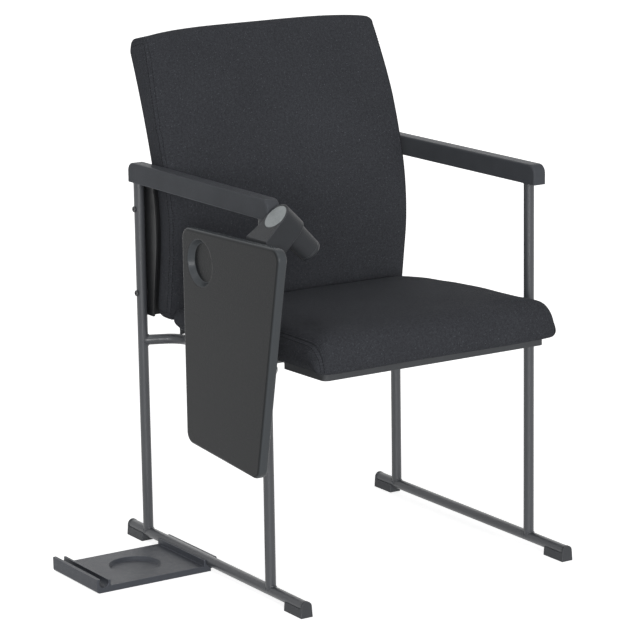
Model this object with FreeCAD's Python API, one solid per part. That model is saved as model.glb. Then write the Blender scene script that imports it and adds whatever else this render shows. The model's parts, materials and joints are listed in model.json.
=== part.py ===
import FreeCAD
import Part
import math
import os

# Visitor chair with a writing tablet and a row link. Millimetres, +Z up, the chair faces -Y.
# The sitter's right side is -X: it carries the tablet and the row link.
# Pieces are placed from the middle of the two runners on the floor. At the end the whole
# chair is moved so that the origin is the bottom centre of its box.

V = FreeCAD.Vector
X_AXIS = V(1, 0, 0)
Y_AXIS = V(0, 1, 0)
Z_AXIS = V(0, 0, 1)

# Side frames of round tube
frame_spacing = 530.0       # between the middles of the two side frames
tube_d = 18.0
tube_wall = 1.5
runner_length = 571.0
floor_gap = 9.0             # from the floor to the runner tubes
front_leg_y = -179.0        # from the middle of the runners
rear_leg_y = 232.0
weld_gap = 0.05             # between a coped tube end and the tube that it is welded to

# Runner feet
foot_block_length = 48.5
foot_width = 22.0           # at the floor
foot_rim_drop = 3.0         # of the block's upper edge below the tube's middle
foot_flange_t = 5.0
foot_flange_lip = 0.6       # the flange stands this far out past the tube
foot_plug_length = 22.0
plug_clearance = 0.1

# Arms
arm_bottom_z = 645.0
arm_height = 34.0
arm_width = 24.5
arm_front_overhang = 31.5   # ahead of the front leg's middle
arm_rear_overhang = 16.0    # behind the rear leg's middle
arm_end_r = 15.0
arm_edge_r = 3.0
arm_bar_width = 16.0
arm_bar_t = 5.0
arm_bar_end = 11.0          # past each leg's middle
arm_bar_clearance = 0.2
arm_screw_inset = 90.0      # from each leg to the nearest arm screw

# Screws
wood_screw_d = 5.0
wood_screw_head_d = 9.0
wood_screw_head_h = 2.6
machine_screw_d = 6.0
machine_screw_head_d = 10.5
machine_screw_head_h = 3.0
arm_screw_grip = 14.0       # in the arm pad
tablet_screw_grip = 12.0    # in the tablet
back_screw_grip = 6.0       # in the back board
seat_screw_grip = 9.0       # in the seat board
leg_screw_end = 3.5         # out of the bracket
screw_clearance = 0.2       # between a thread and its hole, on the radius
pilot_spare = 1.0           # of a blind hole, past the screw's end

# Seat carrier. It is drawn flat, then tilted about the front legs.
seat_tilt = 1.2             # degrees, front up
rail_z = 374.0              # at the front legs
rail_inset = 60.0           # from the side frame's middle to the rail's straight run
rail_front_angle = 52.0     # of the rail's end at the front leg, from straight across
rail_rear_angle = 25.0      # of the rail's end at the rear leg
rail_bend_r = 45.0
cross_tube_inset = 45.0     # from each end of the rail's straight run
saddle_width = 26.0
saddle_length = 34.0
saddle_height = 12.5        # from the top of the rail to the pan
saddle_inset = 12.0         # from each cross tube's side

# Seat
seat_side_gap = 32.3        # from the side frame's middle to the cushion
seat_front_overhang = 117.4 # ahead of the front legs
seat_back_gap = 14.5        # from the cushion to the back's lower edge
pan_t = 2.5
pan_inset = 12.6            # inside the cushion's outline
pan_rim_depth = 10.5        # of the rim below the pan plate
pan_rim_length = 122.0      # along each side, from the front
pan_rear_setback = 44.0     # ahead of the rear legs
pan_corner_r = 10.0
board_t = 12.0
board_inset = 16.0          # inside the cushion's outline
soft_gap = 0.3              # round a soft piece
waterfall_r = 38.0          # of the cushion's front edge at its side seams
seat_crown = 16.0           # rise of the middle over the side seams
seat_front_crown = 10.0
waterfall_rise = 8.7        # of the front edge's centre above the cushion's base, at the side seams
brow_crown = 20.0           # rise of that centre in the middle over the side seams
seat_rear_height = 34.0
seat_rear_crown = 3.5
seat_long_sag = 7.0         # rise of the seat's top over a straight line, front to rear
waterfall_sweep = 86.0      # degrees of the front edge's round
seat_tuck = 8.0             # the side panels turn in under the cushion by this much
seat_tuck_height = 12.0

# Back. Its side profile starts at its lower front edge.
back_setback = 53.0         # ahead of the rear legs
back_bottom_z = 404.0
back_length = 515.0         # along the side profile, in the middle of the back
back_arch = 8.0             # the top edge's ends are lower by this much
back_top_taper = 7.0        # each side draws in by this much towards the top
back_taper_height = 120.0
back_lower_length = 100.0
back_lower_lean = -8.3      # degrees, negative leans forward
lumbar_r = 400.0
lumbar_end_lean = 15.0
back_upper_r = 1600.0
back_side_gap = 21.0        # from the side frame's middle to the back's side seams
back_soft_t = 26.0
back_crown = 6.0
back_front_r = 14.0         # of the cushion's front at its top and bottom
back_rear_r = 12.0
back_wrap = 9.6             # the cushion's rim reaches this far round the shell
back_board_t = 8.0
back_board_inset = 18.0
back_shell_t = 5.0
back_shell_inset = 14.0
back_panel_r = 14.0         # of the shell's corners
panel_gap = 0.1             # between curved panels that lie on each other

# Back brackets
bracket_bottom_z = 411.0
bracket_arm_gap = 3.0
bracket_t = 4.0
bracket_strap_width = 50.0
bracket_leg_gap = 0.2
bracket_rear_edge = 10.0    # behind the rear leg's middle
bracket_lap = 8.0           # of the cheek over the cushion's side, ahead of the strap
bracket_low_screw = 39.0    # above the bracket's lower end
bracket_high_screw = 44.0   # below the bracket's upper end
strap_screw_inset = 11.0    # from the strap's inner edge

# Tablet pivot. Its axis leans 45 degrees outwards. Heights run down from the cover disc's seat.
pivot_out = 14.0            # of the head's top centre, outside the side frame's middle
pivot_rise = 12.3           # of the head's top centre above the arm's underside
pivot_arm_gap = 2.5         # from the head to the arm's front end
head_r = 25.5
head_height = 40.0
head_flare_start = 20.0     # where the head's rear flank starts to widen
head_flare_end = 60.0
head_rear_width = 41.0      # of the rear flank at its widest, from the axis
cover_disc_r = 21.5
cover_disc_t = 2.8
cover_disc_seat = 2.2
cover_disc_edge_r = 0.5
cover_clearance = 0.15
bolt_d = 12.0
bolt_head_d = 24.0
bolt_head_h = 7.0
bolt_end_gap = 0.6          # from the bolt's end to the housing's end cap
running_clearance = 0.05
friction_washer_t = 1.5
friction_washer_r = 20.0
housing_top_r = 21.5
housing_end_r = 20.0
housing_height = 43.0
bush_wall = 3.0
bush_length = 25.0
spring_cavity_r = 15.0
disc_spring_r = 12.0
disc_spring_t = 1.4
disc_spring_count = 3
nut_width = 19.0            # across flats
nut_height = 9.0
end_cap_t = 9.0
end_cap_r = 7.0
end_cap_spigot = 2.0
spigot_clearance = 0.05
stop_pin_d = 5.0
stop_pin_r = 15.0           # of the pin's middle from the axis
stop_pin_reach = 6.0        # into the head
stop_pin_depth = 9.0        # into the housing
stop_groove_clearance = 0.3
tablet_swing = 180.0        # degrees
pivot_arm_d = 16.0
pivot_arm_drop = 20.5       # of the support arm below the housing's top, along the axis

# Writing tablet, in its stowed place: an upright board outside the arm
tablet_out = 47.0           # of its inner face, outside the side frame's middle
tablet_t = 18.0
tablet_drop = 42.9          # of the top edge's rear end below the head's top centre
tablet_top_rise = 9.0       # of the top edge, rear to front
tablet_top_width = 306.0
tablet_rear_y = -25.0
tablet_height = 364.4       # along the rear edge
tablet_bottom_width = 228.0
tablet_bottom_drop = 17.5   # of the lower edge, rear to front
tablet_corner_r = 19.0
tablet_edge_r = 5.0
cup_r = 39.5                # at the tablet's face
cup_floor_r = 33.0
cup_depth = 10.0
cup_rear_inset = 58.0       # of the recess's middle from the tablet's rear edge
cup_top_inset = 52.0        # of the recess's middle from the top edge's rear end
plate_t = 5.0               # mounting plate of the swivel head, on the tablet's inner face
plate_front = 34.0          # ahead of the pivot axis
plate_rear = 49.0           # behind the pivot axis
plate_top_inset = 4.0       # below the tablet's top edge
plate_height = 115.0
plate_corner_r = 8.0
plate_screw_inset = 12.0
plate_screw_pitch = 30.0    # between the two rows of screws

# Row link, lying on the floor
link_pitch = 207.3          # between the chair's runner and the next chair's runner
link_length = 160.0
link_rear_y = 176.0
link_wall = 3.6             # outside each channel
link_plate_t = 11.0
link_inner_lip = 3.5        # lip height over the tube's middle, on the side of the plate
link_outer_lip = 6.5
channel_clearance = 0.08
link_recess_r = 45.0        # at the plate's top
link_recess_floor_r = 40.0
link_recess_depth = 6.0
link_edge_r = 1.5
link_lower_r = 5.0          # along the far channel's lower edge

wood_screw = (wood_screw_d, wood_screw_head_d, wood_screw_head_h)
machine_screw = (machine_screw_d, machine_screw_head_d, machine_screw_head_h)
tube_r = tube_d / 2
half_frame = frame_spacing / 2
runner_z = floor_gap + tube_r
arm_front_y = front_leg_y - arm_front_overhang
arm_rear_y = rear_leg_y + arm_rear_overhang
sides = (("left", 1), ("right", -1))    # as the sitter names them


def rod(start, end, radius):
    run = end - start
    return Part.makeCylinder(radius, run.Length, start, run)


def tube(start, end):
    return rod(start, end, tube_r).cut(rod(start, end, tube_r - tube_wall))


def box(low, high):
    size = high - low
    return Part.makeBox(size.x, size.y, size.z, low)


def prism(points, along):
    return Part.Face(Part.makePolygon(list(points) + [points[0]])).extrude(along)


def screw(seat, into, size, shank):
    """A screw whose head stands on seat. The shank runs along into."""
    thread_d, head_d, head_h = size
    head = Part.makeCylinder(head_d / 2, head_h, seat, into * -1)
    return head.fuse(Part.makeCylinder(thread_d / 2, shank, seat, into)).removeSplitter()


def screw_hole(seat, into, size, depth):
    return Part.makeCylinder(size[0] / 2 + screw_clearance, depth, seat, into)


def same(a, b):
    return abs(a - b) < 1e-6


def edges_along(shape, direction, test):
    """Straight edges of the shape along a direction whose middle passes the test."""
    found = []
    for edge in shape.Edges:
        if isinstance(edge.Curve, Part.Line):
            run = edge.Vertexes[-1].Point - edge.Vertexes[0].Point
            if abs(run.normalize().dot(direction)) > 0.999 and test(edge.CenterOfMass):
                found.append(edge)
    return found


def rounded_outline(corners, radius):
    """Closed wire through the corners, each rounded by the radius."""
    edges = []
    starts = []
    for i, corner in enumerate(corners):
        back = (corners[i - 1] - corner).normalize()
        ahead = (corners[(i + 1) % len(corners)] - corner).normalize()
        half_turn = math.acos(back.dot(ahead)) / 2
        reach = radius / math.tan(half_turn)
        centre = corner + (back + ahead).normalize() * (radius / math.sin(half_turn))
        middle = centre + (corner - centre).normalize() * radius
        starts.append((corner + back * reach, middle, corner + ahead * reach))
    for i, (begin, middle, end) in enumerate(starts):
        edges.append(Part.Arc(begin, middle, end).toShape())
        edges.append(Part.LineSegment(end, starts[(i + 1) % len(starts)][0]).toShape())
    return Part.Wire(edges)


# Side frames

def runner_rod(x, room):
    half = runner_length / 2
    return rod(V(x, -half, runner_z), V(x, half, runner_z), tube_r + room)


def leg_rod(x, y):
    return rod(V(x, y, runner_z), V(x, y, arm_bottom_z), tube_r + weld_gap)


def runner(x):
    half = runner_length / 2
    return tube(V(x, -half, runner_z), V(x, half, runner_z))


def leg(x, y):
    return tube(V(x, y, runner_z), V(x, y, arm_bottom_z)).cut(runner_rod(x, weld_gap))


def rear_leg(x, side):
    upright = leg(x, rear_leg_y)
    for z in bracket_screw_heights():
        seat = V(x + side * tube_r, rear_leg_y, z)
        upright = upright.cut(screw_hole(seat, X_AXIS * -side, machine_screw, tube_d))
    return upright


def foot_slab(x, start, end, top):
    """Slab across a foot up to a height: as wide as the flange at the tube's middle, wider at the floor."""
    low = foot_width / 2
    high = low + (tube_r + foot_flange_lip - low) * top / runner_z
    corners = [V(x - low, start, 0), V(x + low, start, 0), V(x + high, start, top), V(x - high, start, top)]
    return prism(corners, V(0, end - start, 0))


def foot(x, end):
    """Floor block under the tube, an end flange and a plug in the tube. end is -1 in front, 1 behind."""
    tube_end = end * runner_length / 2
    inner = tube_end - end * foot_block_length
    outer = tube_end + end * foot_flange_t
    block = foot_slab(x, inner, tube_end, runner_z - foot_rim_drop)
    block = block.cut(runner_rod(x, plug_clearance))
    stem = foot_slab(x, tube_end, outer, runner_z)
    crown = rod(V(x, tube_end, runner_z), V(x, outer, runner_z), tube_r + foot_flange_lip)
    plug_end = tube_end - end * foot_plug_length
    plug = rod(V(x, tube_end, runner_z), V(x, plug_end, runner_z), tube_r - tube_wall - plug_clearance)
    return block.fuse([stem, crown, plug]).removeSplitter()


# Arms

def arm_screw_places():
    return (front_leg_y + arm_screw_inset, rear_leg_y - arm_screw_inset)


def bar_box(x, room):
    half = arm_bar_width / 2 + room
    low = V(x - half, front_leg_y - arm_bar_end - room, arm_bottom_z)
    return box(low, V(x + half, rear_leg_y + arm_bar_end + room, arm_bottom_z + arm_bar_t))


def arm_bar(x):
    bar = bar_box(x, 0)
    for y in arm_screw_places():
        bar = bar.cut(screw_hole(V(x, y, arm_bottom_z), Z_AXIS, wood_screw, arm_bar_t))
    return bar


def arm_pad(x):
    low = V(x - arm_width / 2, arm_front_y, arm_bottom_z)
    high = V(x + arm_width / 2, arm_rear_y, arm_bottom_z + arm_height)
    pad = box(low, high)
    top_ends = edges_along(pad, X_AXIS, lambda p: same(p.z, high.z))
    pad = pad.makeFillet(arm_end_r, top_ends)
    top_sides = edges_along(pad, Y_AXIS, lambda p: same(p.z, high.z))
    pad = pad.makeFillet(arm_edge_r, top_sides)
    pad = pad.cut(bar_box(x, arm_bar_clearance))
    depth = arm_bar_t + arm_screw_grip + pilot_spare
    for y in arm_screw_places():
        pad = pad.cut(screw_hole(V(x, y, arm_bottom_z), Z_AXIS, wood_screw, depth))
    return pad


def arm_screws():
    screws = []
    for _, side in sides:
        for y in arm_screw_places():
            seat = V(side * half_frame, y, arm_bottom_z)
            screws.append(screw(seat, Z_AXIS, wood_screw, arm_bar_t + arm_screw_grip))
    return Part.makeCompound(screws)


# Seat carrier

def tilt(shape):
    shape.rotate(V(0, front_leg_y, rail_z), X_AXIS, -seat_tilt)
    return shape


rail_x = half_frame - rail_inset
rail_front_y = front_leg_y + rail_inset * math.tan(math.radians(rail_front_angle))
rail_rear_y = rear_leg_y - rail_inset * math.tan(math.radians(rail_rear_angle))
rail_run_front = rail_front_y + rail_bend_r * math.tan(math.radians(90 - rail_front_angle) / 2)
rail_run_rear = rail_rear_y - rail_bend_r * math.tan(math.radians(90 - rail_rear_angle) / 2)
cross_tube_places = (rail_run_front + cross_tube_inset, rail_run_rear - cross_tube_inset)
saddle_reach = tube_r + saddle_inset + saddle_length / 2
saddle_places = (cross_tube_places[0] + saddle_reach, cross_tube_places[1] - saddle_reach)
rail_top_z = rail_z + tube_r
pan_bottom_z = rail_top_z + saddle_height
seat_base_z = pan_bottom_z + pan_t
seat_half_width = half_frame - seat_side_gap
seat_front_y = front_leg_y - seat_front_overhang
back_bottom_y = rear_leg_y - back_setback
seat_rear_y = back_bottom_y - seat_back_gap


def rail_path(side):
    corners = [
        V(side * half_frame, rear_leg_y, rail_z),
        V(side * rail_x, rail_rear_y, rail_z),
        V(side * rail_x, rail_front_y, rail_z),
        V(side * half_frame, front_leg_y, rail_z),
    ]
    edges = []
    last = corners[0]
    for before, corner, after in zip(corners, corners[1:], corners[2:]):
        back = (before - corner).normalize()
        ahead = (after - corner).normalize()
        half_turn = math.acos(back.dot(ahead)) / 2
        reach = rail_bend_r / math.tan(half_turn)
        centre = corner + (back + ahead).normalize() * (rail_bend_r / math.sin(half_turn))
        middle = centre + (corner - centre).normalize() * rail_bend_r
        edges.append(Part.LineSegment(last, corner + back * reach).toShape())
        edges.append(Part.Arc(corner + back * reach, middle, corner + ahead * reach).toShape())
        last = corner + ahead * reach
    edges.append(Part.LineSegment(last, corners[-1]).toShape())
    return Part.Wire(edges)


def rail_sweep(side, radius):
    path = rail_path(side)
    start = path.Edges[0].Vertexes[0].Point
    ahead = path.Edges[0].Vertexes[-1].Point - start
    ring = Part.Wire(Part.Circle(start, ahead, radius).toShape())
    return path.makePipeShell([ring], True, False)


def seat_rail(side):
    rail = rail_sweep(side, tube_r).cut(rail_sweep(side, tube_r - tube_wall))
    for y in saddle_places:
        seat = V(side * rail_x, y, rail_z - tube_r)
        rail = rail.cut(screw_hole(seat, Z_AXIS, machine_screw, tube_d))
    rail = tilt(rail)
    for y in (front_leg_y, rear_leg_y):
        rail = rail.cut(leg_rod(side * half_frame, y))
    return rail


def cross_tube(y):
    bar = tube(V(-rail_x, y, rail_z), V(rail_x, y, rail_z))
    for _, side in sides:
        bar = bar.cut(rail_sweep(side, tube_r + weld_gap))
    return tilt(bar)


def seat_saddles():
    saddles = []
    for _, side in sides:
        for y in saddle_places:
            x = side * rail_x
            low = V(x - saddle_width / 2, y - saddle_length / 2, rail_z)
            block = box(low, V(x + saddle_width / 2, y + saddle_length / 2, pan_bottom_z))
            block = block.cut(rail_sweep(side, tube_r + plug_clearance))
            block = block.cut(screw_hole(V(x, y, rail_z), Z_AXIS, machine_screw, pan_bottom_z - rail_z))
            saddles.append(tilt(block))
    return Part.makeCompound(saddles)


def seat_screws():
    screws = []
    for _, side in sides:
        for y in saddle_places:
            seat = V(side * rail_x, y, rail_z - tube_r)
            shank = tube_d + saddle_height + pan_t + seat_screw_grip
            screws.append(tilt(screw(seat, Z_AXIS, machine_screw, shank)))
    return Part.makeCompound(screws)


def seat_screw_holes(depth):
    holes = []
    for _, side in sides:
        for y in saddle_places:
            holes.append(screw_hole(V(side * rail_x, y, rail_z - tube_r), Z_AXIS, machine_screw, depth))
    return Part.makeCompound(holes)


# Seat

def seat_pan():
    """Pressed plate with a rim turned down round its front and a flange turned down at its rear."""
    half = seat_half_width - pan_inset
    front = seat_front_y + pan_inset
    rear = rear_leg_y - pan_rear_setback
    rim_z = pan_bottom_z - pan_rim_depth
    slab = box(V(-half, front, rim_z), V(half, rear, seat_base_z))
    corners = edges_along(slab, Z_AXIS, lambda p: True)
    slab = slab.makeFillet(pan_corner_r, corners)
    inner = box(V(-half + pan_t, front + pan_t, rim_z), V(half - pan_t, rear - pan_t, pan_bottom_z))
    inner_corners = edges_along(inner, Z_AXIS, lambda p: True)
    pan = slab.cut(inner.makeFillet(pan_corner_r - pan_t, inner_corners))
    rim_end = front + pan_rim_length
    pan = pan.cut(box(V(-half, rim_end, rim_z), V(half, rear - pan_corner_r, pan_bottom_z)))
    return tilt(pan.cut(seat_screw_holes(tube_d + saddle_height + pan_t)))


def board_box(room):
    half = seat_half_width - board_inset + room
    low = V(-half, seat_front_y + board_inset - room, seat_base_z)
    return box(low, V(half, seat_rear_y - board_inset + room, seat_base_z + board_t + room))


def seat_board():
    depth = tube_d + saddle_height + pan_t + seat_screw_grip + pilot_spare
    return tilt(board_box(0).cut(seat_screw_holes(depth)))


cushion_stations = [i / 6 for i in range(-6, 7)]


def crown_share(t):
    """Share of the crown at t, from -1 to 1 across the cushion: full in the middle, none at the seams."""
    return 1 - t ** 6


def seat_section(t):
    """Side profile of the seat cushion at t across its width."""
    x = t * seat_half_width
    share = crown_share(t)
    radius = waterfall_r + (seat_crown - brow_crown) * share
    base = seat_base_z + soft_gap
    foot_point = V(x, seat_front_y - seat_front_crown * share, base)
    brow = foot_point + V(0, 0, waterfall_rise + brow_crown * share)
    centre = brow + V(0, radius, 0)
    sweep = math.radians(waterfall_sweep)

    def on_front(angle):
        return centre + V(0, -radius * math.cos(angle), radius * math.sin(angle))

    shoulder = on_front(sweep)
    rear_top = V(x, seat_rear_y, base + seat_rear_height + seat_rear_crown * share)
    rear_foot = V(x, seat_rear_y, base)
    rise = (shoulder + rear_top) * 0.5 + V(0, 0, seat_long_sag)
    return Part.Wire([
        Part.LineSegment(foot_point, brow).toShape(),
        Part.Arc(brow, on_front(sweep / 2), shoulder).toShape(),
        Part.Arc(shoulder, rise, rear_top).toShape(),
        Part.LineSegment(rear_top, rear_foot).toShape(),
        Part.LineSegment(rear_foot, foot_point).toShape(),
    ])


def seat_cushion():
    cushion = Part.makeLoft([seat_section(t) for t in cushion_stations], True, False)
    base = seat_base_z + soft_gap
    front = seat_front_y - waterfall_r
    along = V(0, seat_rear_y + waterfall_r - front, 0)
    for _, side in sides:
        edge = side * seat_half_width
        under = V(edge - side * seat_tuck, front, base)
        beside = V(edge, front, base + seat_tuck_height)
        cushion = cushion.cut(prism([V(edge, front, base), under, beside], along))
    return tilt(cushion.cut(board_box(soft_gap)))


# Back

def back_point(s):
    """Height, depth and lean of the back's side profile at the length s from its lower edge."""
    lean = math.radians(back_lower_lean)
    end_lean = math.radians(lumbar_end_lean)
    y = back_bottom_y
    z = back_bottom_z
    straight = min(s, back_lower_length)
    y += straight * math.sin(lean)
    z += straight * math.cos(lean)
    s -= straight
    turn = min(s / lumbar_r, end_lean - lean)
    y += lumbar_r * (math.cos(lean) - math.cos(lean + turn))
    z += lumbar_r * (math.sin(lean + turn) - math.sin(lean))
    s -= turn * lumbar_r
    lean += turn
    turn = s / back_upper_r
    y += back_upper_r * (math.cos(lean) - math.cos(lean + turn))
    z += back_upper_r * (math.sin(lean + turn) - math.sin(lean))
    return y, z, lean + turn


def behind(s, depth, x):
    """Point at the depth behind the side profile, square to it."""
    y, z, lean = back_point(s)
    return V(x, y + depth * math.cos(lean), z - depth * math.sin(lean))


def back_at_height(height, depth):
    """Length along the side profile at which the surface behind it at the depth reaches the height."""
    low = 0.0
    high = back_length
    for _ in range(50):
        middle = (low + high) / 2
        if behind(middle, depth, 0).z < height:
            low = middle
        else:
            high = middle
    return low


def back_curve(start, end, depth, x):
    """Line and arcs of the side profile between two lengths, moved behind it by the depth."""
    lumbar_end = back_lower_length + lumbar_r * math.radians(lumbar_end_lean - back_lower_lean)
    stops = [start] + [s for s in (back_lower_length, lumbar_end) if start < s < end] + [end]
    edges = []
    for a, b in zip(stops, stops[1:]):
        points = [behind(s, depth, x) for s in (a, (a + b) / 2, b)]
        if b <= back_lower_length:
            edges.append(Part.LineSegment(points[0], points[2]).toShape())
        else:
            edges.append(Part.Arc(*points).toShape())
    return edges


def back_band(start, end, near, far, x_low, x_high):
    """Curved panel between two depths behind the side profile."""
    front = back_curve(start, end, near, x_low)
    rear = back_curve(start, end, far, x_low)
    bottom = Part.LineSegment(behind(start, near, x_low), behind(start, far, x_low)).toShape()
    top = Part.LineSegment(behind(end, near, x_low), behind(end, far, x_low)).toShape()
    outline = Part.Wire(Part.__sortEdges__(front + rear + [bottom, top]))
    return Part.Face(outline).extrude(V(x_high - x_low, 0, 0))


def round_edge(start, bend, end):
    return Part.Arc(start, bend, end).toShape()


def back_section(t):
    """Side profile of the back cushion at t across its width, with rounded ends."""
    x = t * back_half_width
    face = -back_crown * crown_share(t)
    rim = back_rim_depth
    top = back_length - back_arch * t ** 4
    front_cut = back_front_r * (1 - math.sqrt(0.5))
    rear_cut = back_rear_r * (1 - math.sqrt(0.5))
    edges = back_curve(back_front_r, top - back_front_r, face, x)
    over_front = behind(top, face + back_front_r, x)
    over_rear = behind(top, rim - back_rear_r, x)
    under_front = behind(0, face + back_front_r, x)
    under_rear = behind(0, rim - back_rear_r, x)
    brow = behind(top - back_front_r, face, x)
    edges.append(round_edge(brow, behind(top - front_cut, face + front_cut, x), over_front))
    edges.append(Part.LineSegment(over_front, over_rear).toShape())
    nape = behind(top - back_rear_r, rim, x)
    edges.append(round_edge(over_rear, behind(top - rear_cut, rim - rear_cut, x), nape))
    edges += reversed(back_curve(back_rear_r, top - back_rear_r, rim, x))
    heel = behind(back_rear_r, rim, x)
    edges.append(round_edge(heel, behind(rear_cut, rim - rear_cut, x), under_rear))
    edges.append(Part.LineSegment(under_rear, under_front).toShape())
    toe = behind(back_front_r, face, x)
    edges.append(round_edge(under_front, behind(front_cut, face + front_cut, x), toe))
    return Part.Wire(edges)


back_half_width = half_frame - back_side_gap
back_side_length = back_length - back_arch
back_board_depth = back_soft_t + soft_gap
back_shell_depth = back_board_depth + back_board_t + panel_gap
back_rim_depth = back_shell_depth + back_wrap
bracket_depth = back_shell_depth + back_shell_t + panel_gap
bracket_top_z = arm_bottom_z - bracket_arm_gap


def back_cushion():
    cushion = Part.makeLoft([back_section(t) for t in cushion_stations], True, False)
    for _, side in sides:
        cushion = cushion.cut(taper_wedge(side)).cut(strap_room(side))
    cushion = cushion.cut(back_pocket(back_board_inset, back_soft_t))
    return cushion.cut(back_pocket(back_shell_inset, back_shell_depth - panel_gap))


def taper_wedge(side):
    """What is left off one side of the cushion towards its top."""
    y, z, _ = back_point(back_side_length)
    reach = 2 * back_rim_depth
    edge = side * back_half_width
    foot_point = V(edge, y - reach, z - back_taper_height)
    slope = V(-side * back_top_taper, 0, back_taper_height)
    tip = foot_point + slope * 2
    return prism([foot_point, tip, V(edge + side * back_top_taper, tip.y, tip.z)], V(0, 2 * reach, 0))


def strap_room(side):
    """What the bracket's strap presses out of the cushion's rim."""
    start = back_at_height(bracket_bottom_z, bracket_depth) - soft_gap
    end = back_at_height(bracket_top_z, bracket_depth) + soft_gap
    inner = side * (bracket_x - bracket_strap_width - soft_gap)
    outer = side * bracket_x
    near = bracket_depth - soft_gap
    far = 2 * back_rim_depth
    return back_band(start, end, near, far, min(inner, outer), max(inner, outer))


def back_pocket(inset, near):
    """Room in the cushion's rear for a panel, open behind."""
    rim = inset - soft_gap
    half = back_half_width - rim
    return back_band(rim, back_side_length - rim, near, 2 * back_rim_depth, -half, half)


def strap_screw_places(side):
    """Seat and direction of each screw from the bracket's strap into the back board."""
    places = []
    x = side * (bracket_x - bracket_strap_width + strap_screw_inset)
    for z in bracket_screw_heights():
        s = back_at_height(z, bracket_depth)
        lean = back_point(s)[2]
        into = V(0, -math.cos(lean), math.sin(lean))
        places.append((behind(s, bracket_depth + bracket_t + panel_gap, x), into))
    return places


def back_holes(shape):
    depth = bracket_t + back_shell_t + back_screw_grip + pilot_spare
    for _, side in sides:
        for seat, into in strap_screw_places(side):
            shape = shape.cut(screw_hole(seat, into, wood_screw, depth))
    return shape


def back_panel(inset, near, thickness):
    half = back_half_width - inset
    panel = back_band(inset, back_side_length - inset, near, near + thickness, -half, half)
    corners = [edge for edge in panel.Edges if abs(edge.Length - thickness) < 0.01]
    return back_holes(panel.makeFillet(back_panel_r + back_shell_inset - inset, corners))


def back_screws():
    screws = []
    for _, side in sides:
        for seat, into in strap_screw_places(side):
            screws.append(screw(seat, into, wood_screw, bracket_t + back_shell_t + back_screw_grip))
    return Part.makeCompound(screws)


# Back brackets

bracket_x = half_frame - tube_r - bracket_leg_gap


def bracket_screw_heights():
    return (bracket_bottom_z + bracket_low_screw, bracket_top_z - bracket_high_screw)


def back_bracket(side):
    """Strap behind the back's shell and a cheek beside the rear leg, bent from one plate."""
    start = back_at_height(bracket_bottom_z, bracket_depth)
    end = back_at_height(bracket_top_z, bracket_depth)
    outer = side * bracket_x
    inner = side * (bracket_x - bracket_strap_width)
    rear_depth = bracket_depth + bracket_t
    strap = back_band(start, end, bracket_depth, rear_depth, min(inner, outer), max(inner, outer))
    rear = rear_leg_y + bracket_rear_edge
    front_depth = bracket_depth - bracket_lap
    low = behind(start, front_depth, outer)
    high = behind(end, front_depth, outer)
    rim = back_curve(start, end, front_depth, outer)
    corners = [high, V(outer, rear, high.z), V(outer, rear, low.z), low]
    rim += [Part.LineSegment(a, b).toShape() for a, b in zip(corners, corners[1:])]
    cheek = Part.Face(Part.Wire(Part.__sortEdges__(rim))).extrude(V(-side * bracket_t, 0, 0))
    bracket = strap.fuse(cheek).removeSplitter()
    for z in bracket_screw_heights():
        bracket = bracket.cut(screw_hole(V(outer, rear_leg_y, z), X_AXIS * -side, machine_screw, bracket_t))
    for seat, into in strap_screw_places(side):
        bracket = bracket.cut(screw_hole(seat, into, wood_screw, bracket_t + 2 * panel_gap))
    return bracket


def leg_screws():
    screws = []
    shank = tube_d + bracket_leg_gap + bracket_t + leg_screw_end
    for _, side in sides:
        for z in bracket_screw_heights():
            seat = V(side * (half_frame + tube_r), rear_leg_y, z)
            screws.append(screw(seat, X_AXIS * -side, machine_screw, shank))
    return Part.makeCompound(screws)


# Tablet pivot. Its own frame has X down and outwards, Y forward and Z up the axis,
# with its origin at the middle of the head's top.

pivot_x = -(half_frame + pivot_out)
pivot_y = arm_front_y - pivot_arm_gap - head_r
pivot_z = arm_bottom_z + pivot_rise
lean = math.sqrt(0.5)
pivot_axis = V(-lean, 0, lean)
pivot_turn = FreeCAD.Rotation(V(-lean, 0, -lean), V(0, -1, 0), pivot_axis)
pivot_place = FreeCAD.Placement(V(pivot_x, pivot_y, pivot_z), pivot_turn)
washer_z = -head_height
housing_top = washer_z - friction_washer_t
housing_bottom = housing_top - housing_height
cavity_top = housing_top - bush_length
bush_r = bolt_d / 2 + running_clearance + bush_wall
tablet_top_z = pivot_z - tablet_drop
tablet_inner_x = -(half_frame + tablet_out)
tablet_outer_x = tablet_inner_x - tablet_t
head_reach = 2 * (tablet_out + head_height)     # more than enough to pass the tablet's inner face
bolt_seat = -cover_disc_seat - bolt_head_h
bolt_tip = housing_bottom + end_cap_spigot + bolt_end_gap
nut_top = cavity_top - disc_spring_count * disc_spring_t


def pivot_disc(radius, top, bottom):
    return Part.makeCylinder(radius, top - bottom, V(0, 0, bottom))


def pin_rod(radius, bottom, length):
    return Part.makeCylinder(radius, length, V(0, stop_pin_r, bottom))


def placed(shape):
    shape.Placement = pivot_place
    return shape


def stop_groove():
    """Half-ring groove in the head's underside that the stop pin runs in, with rounded ends."""
    half_width = stop_pin_d / 2 + stop_groove_clearance
    depth = stop_pin_reach + stop_groove_clearance
    base = V(0, 0, washer_z)
    ring = Part.makeCylinder(stop_pin_r + half_width, depth, base, Z_AXIS, tablet_swing)
    ring = ring.cut(Part.makeCylinder(stop_pin_r - half_width, depth, base, Z_AXIS, tablet_swing))
    ring.rotate(V(0, 0, 0), Z_AXIS, 90 - tablet_swing)
    for angle in (90 - tablet_swing, 90):
        turn = math.radians(angle)
        end = V(stop_pin_r * math.cos(turn), stop_pin_r * math.sin(turn), washer_z)
        ring = ring.fuse(Part.makeCylinder(half_width, depth, end))
    return ring


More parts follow.
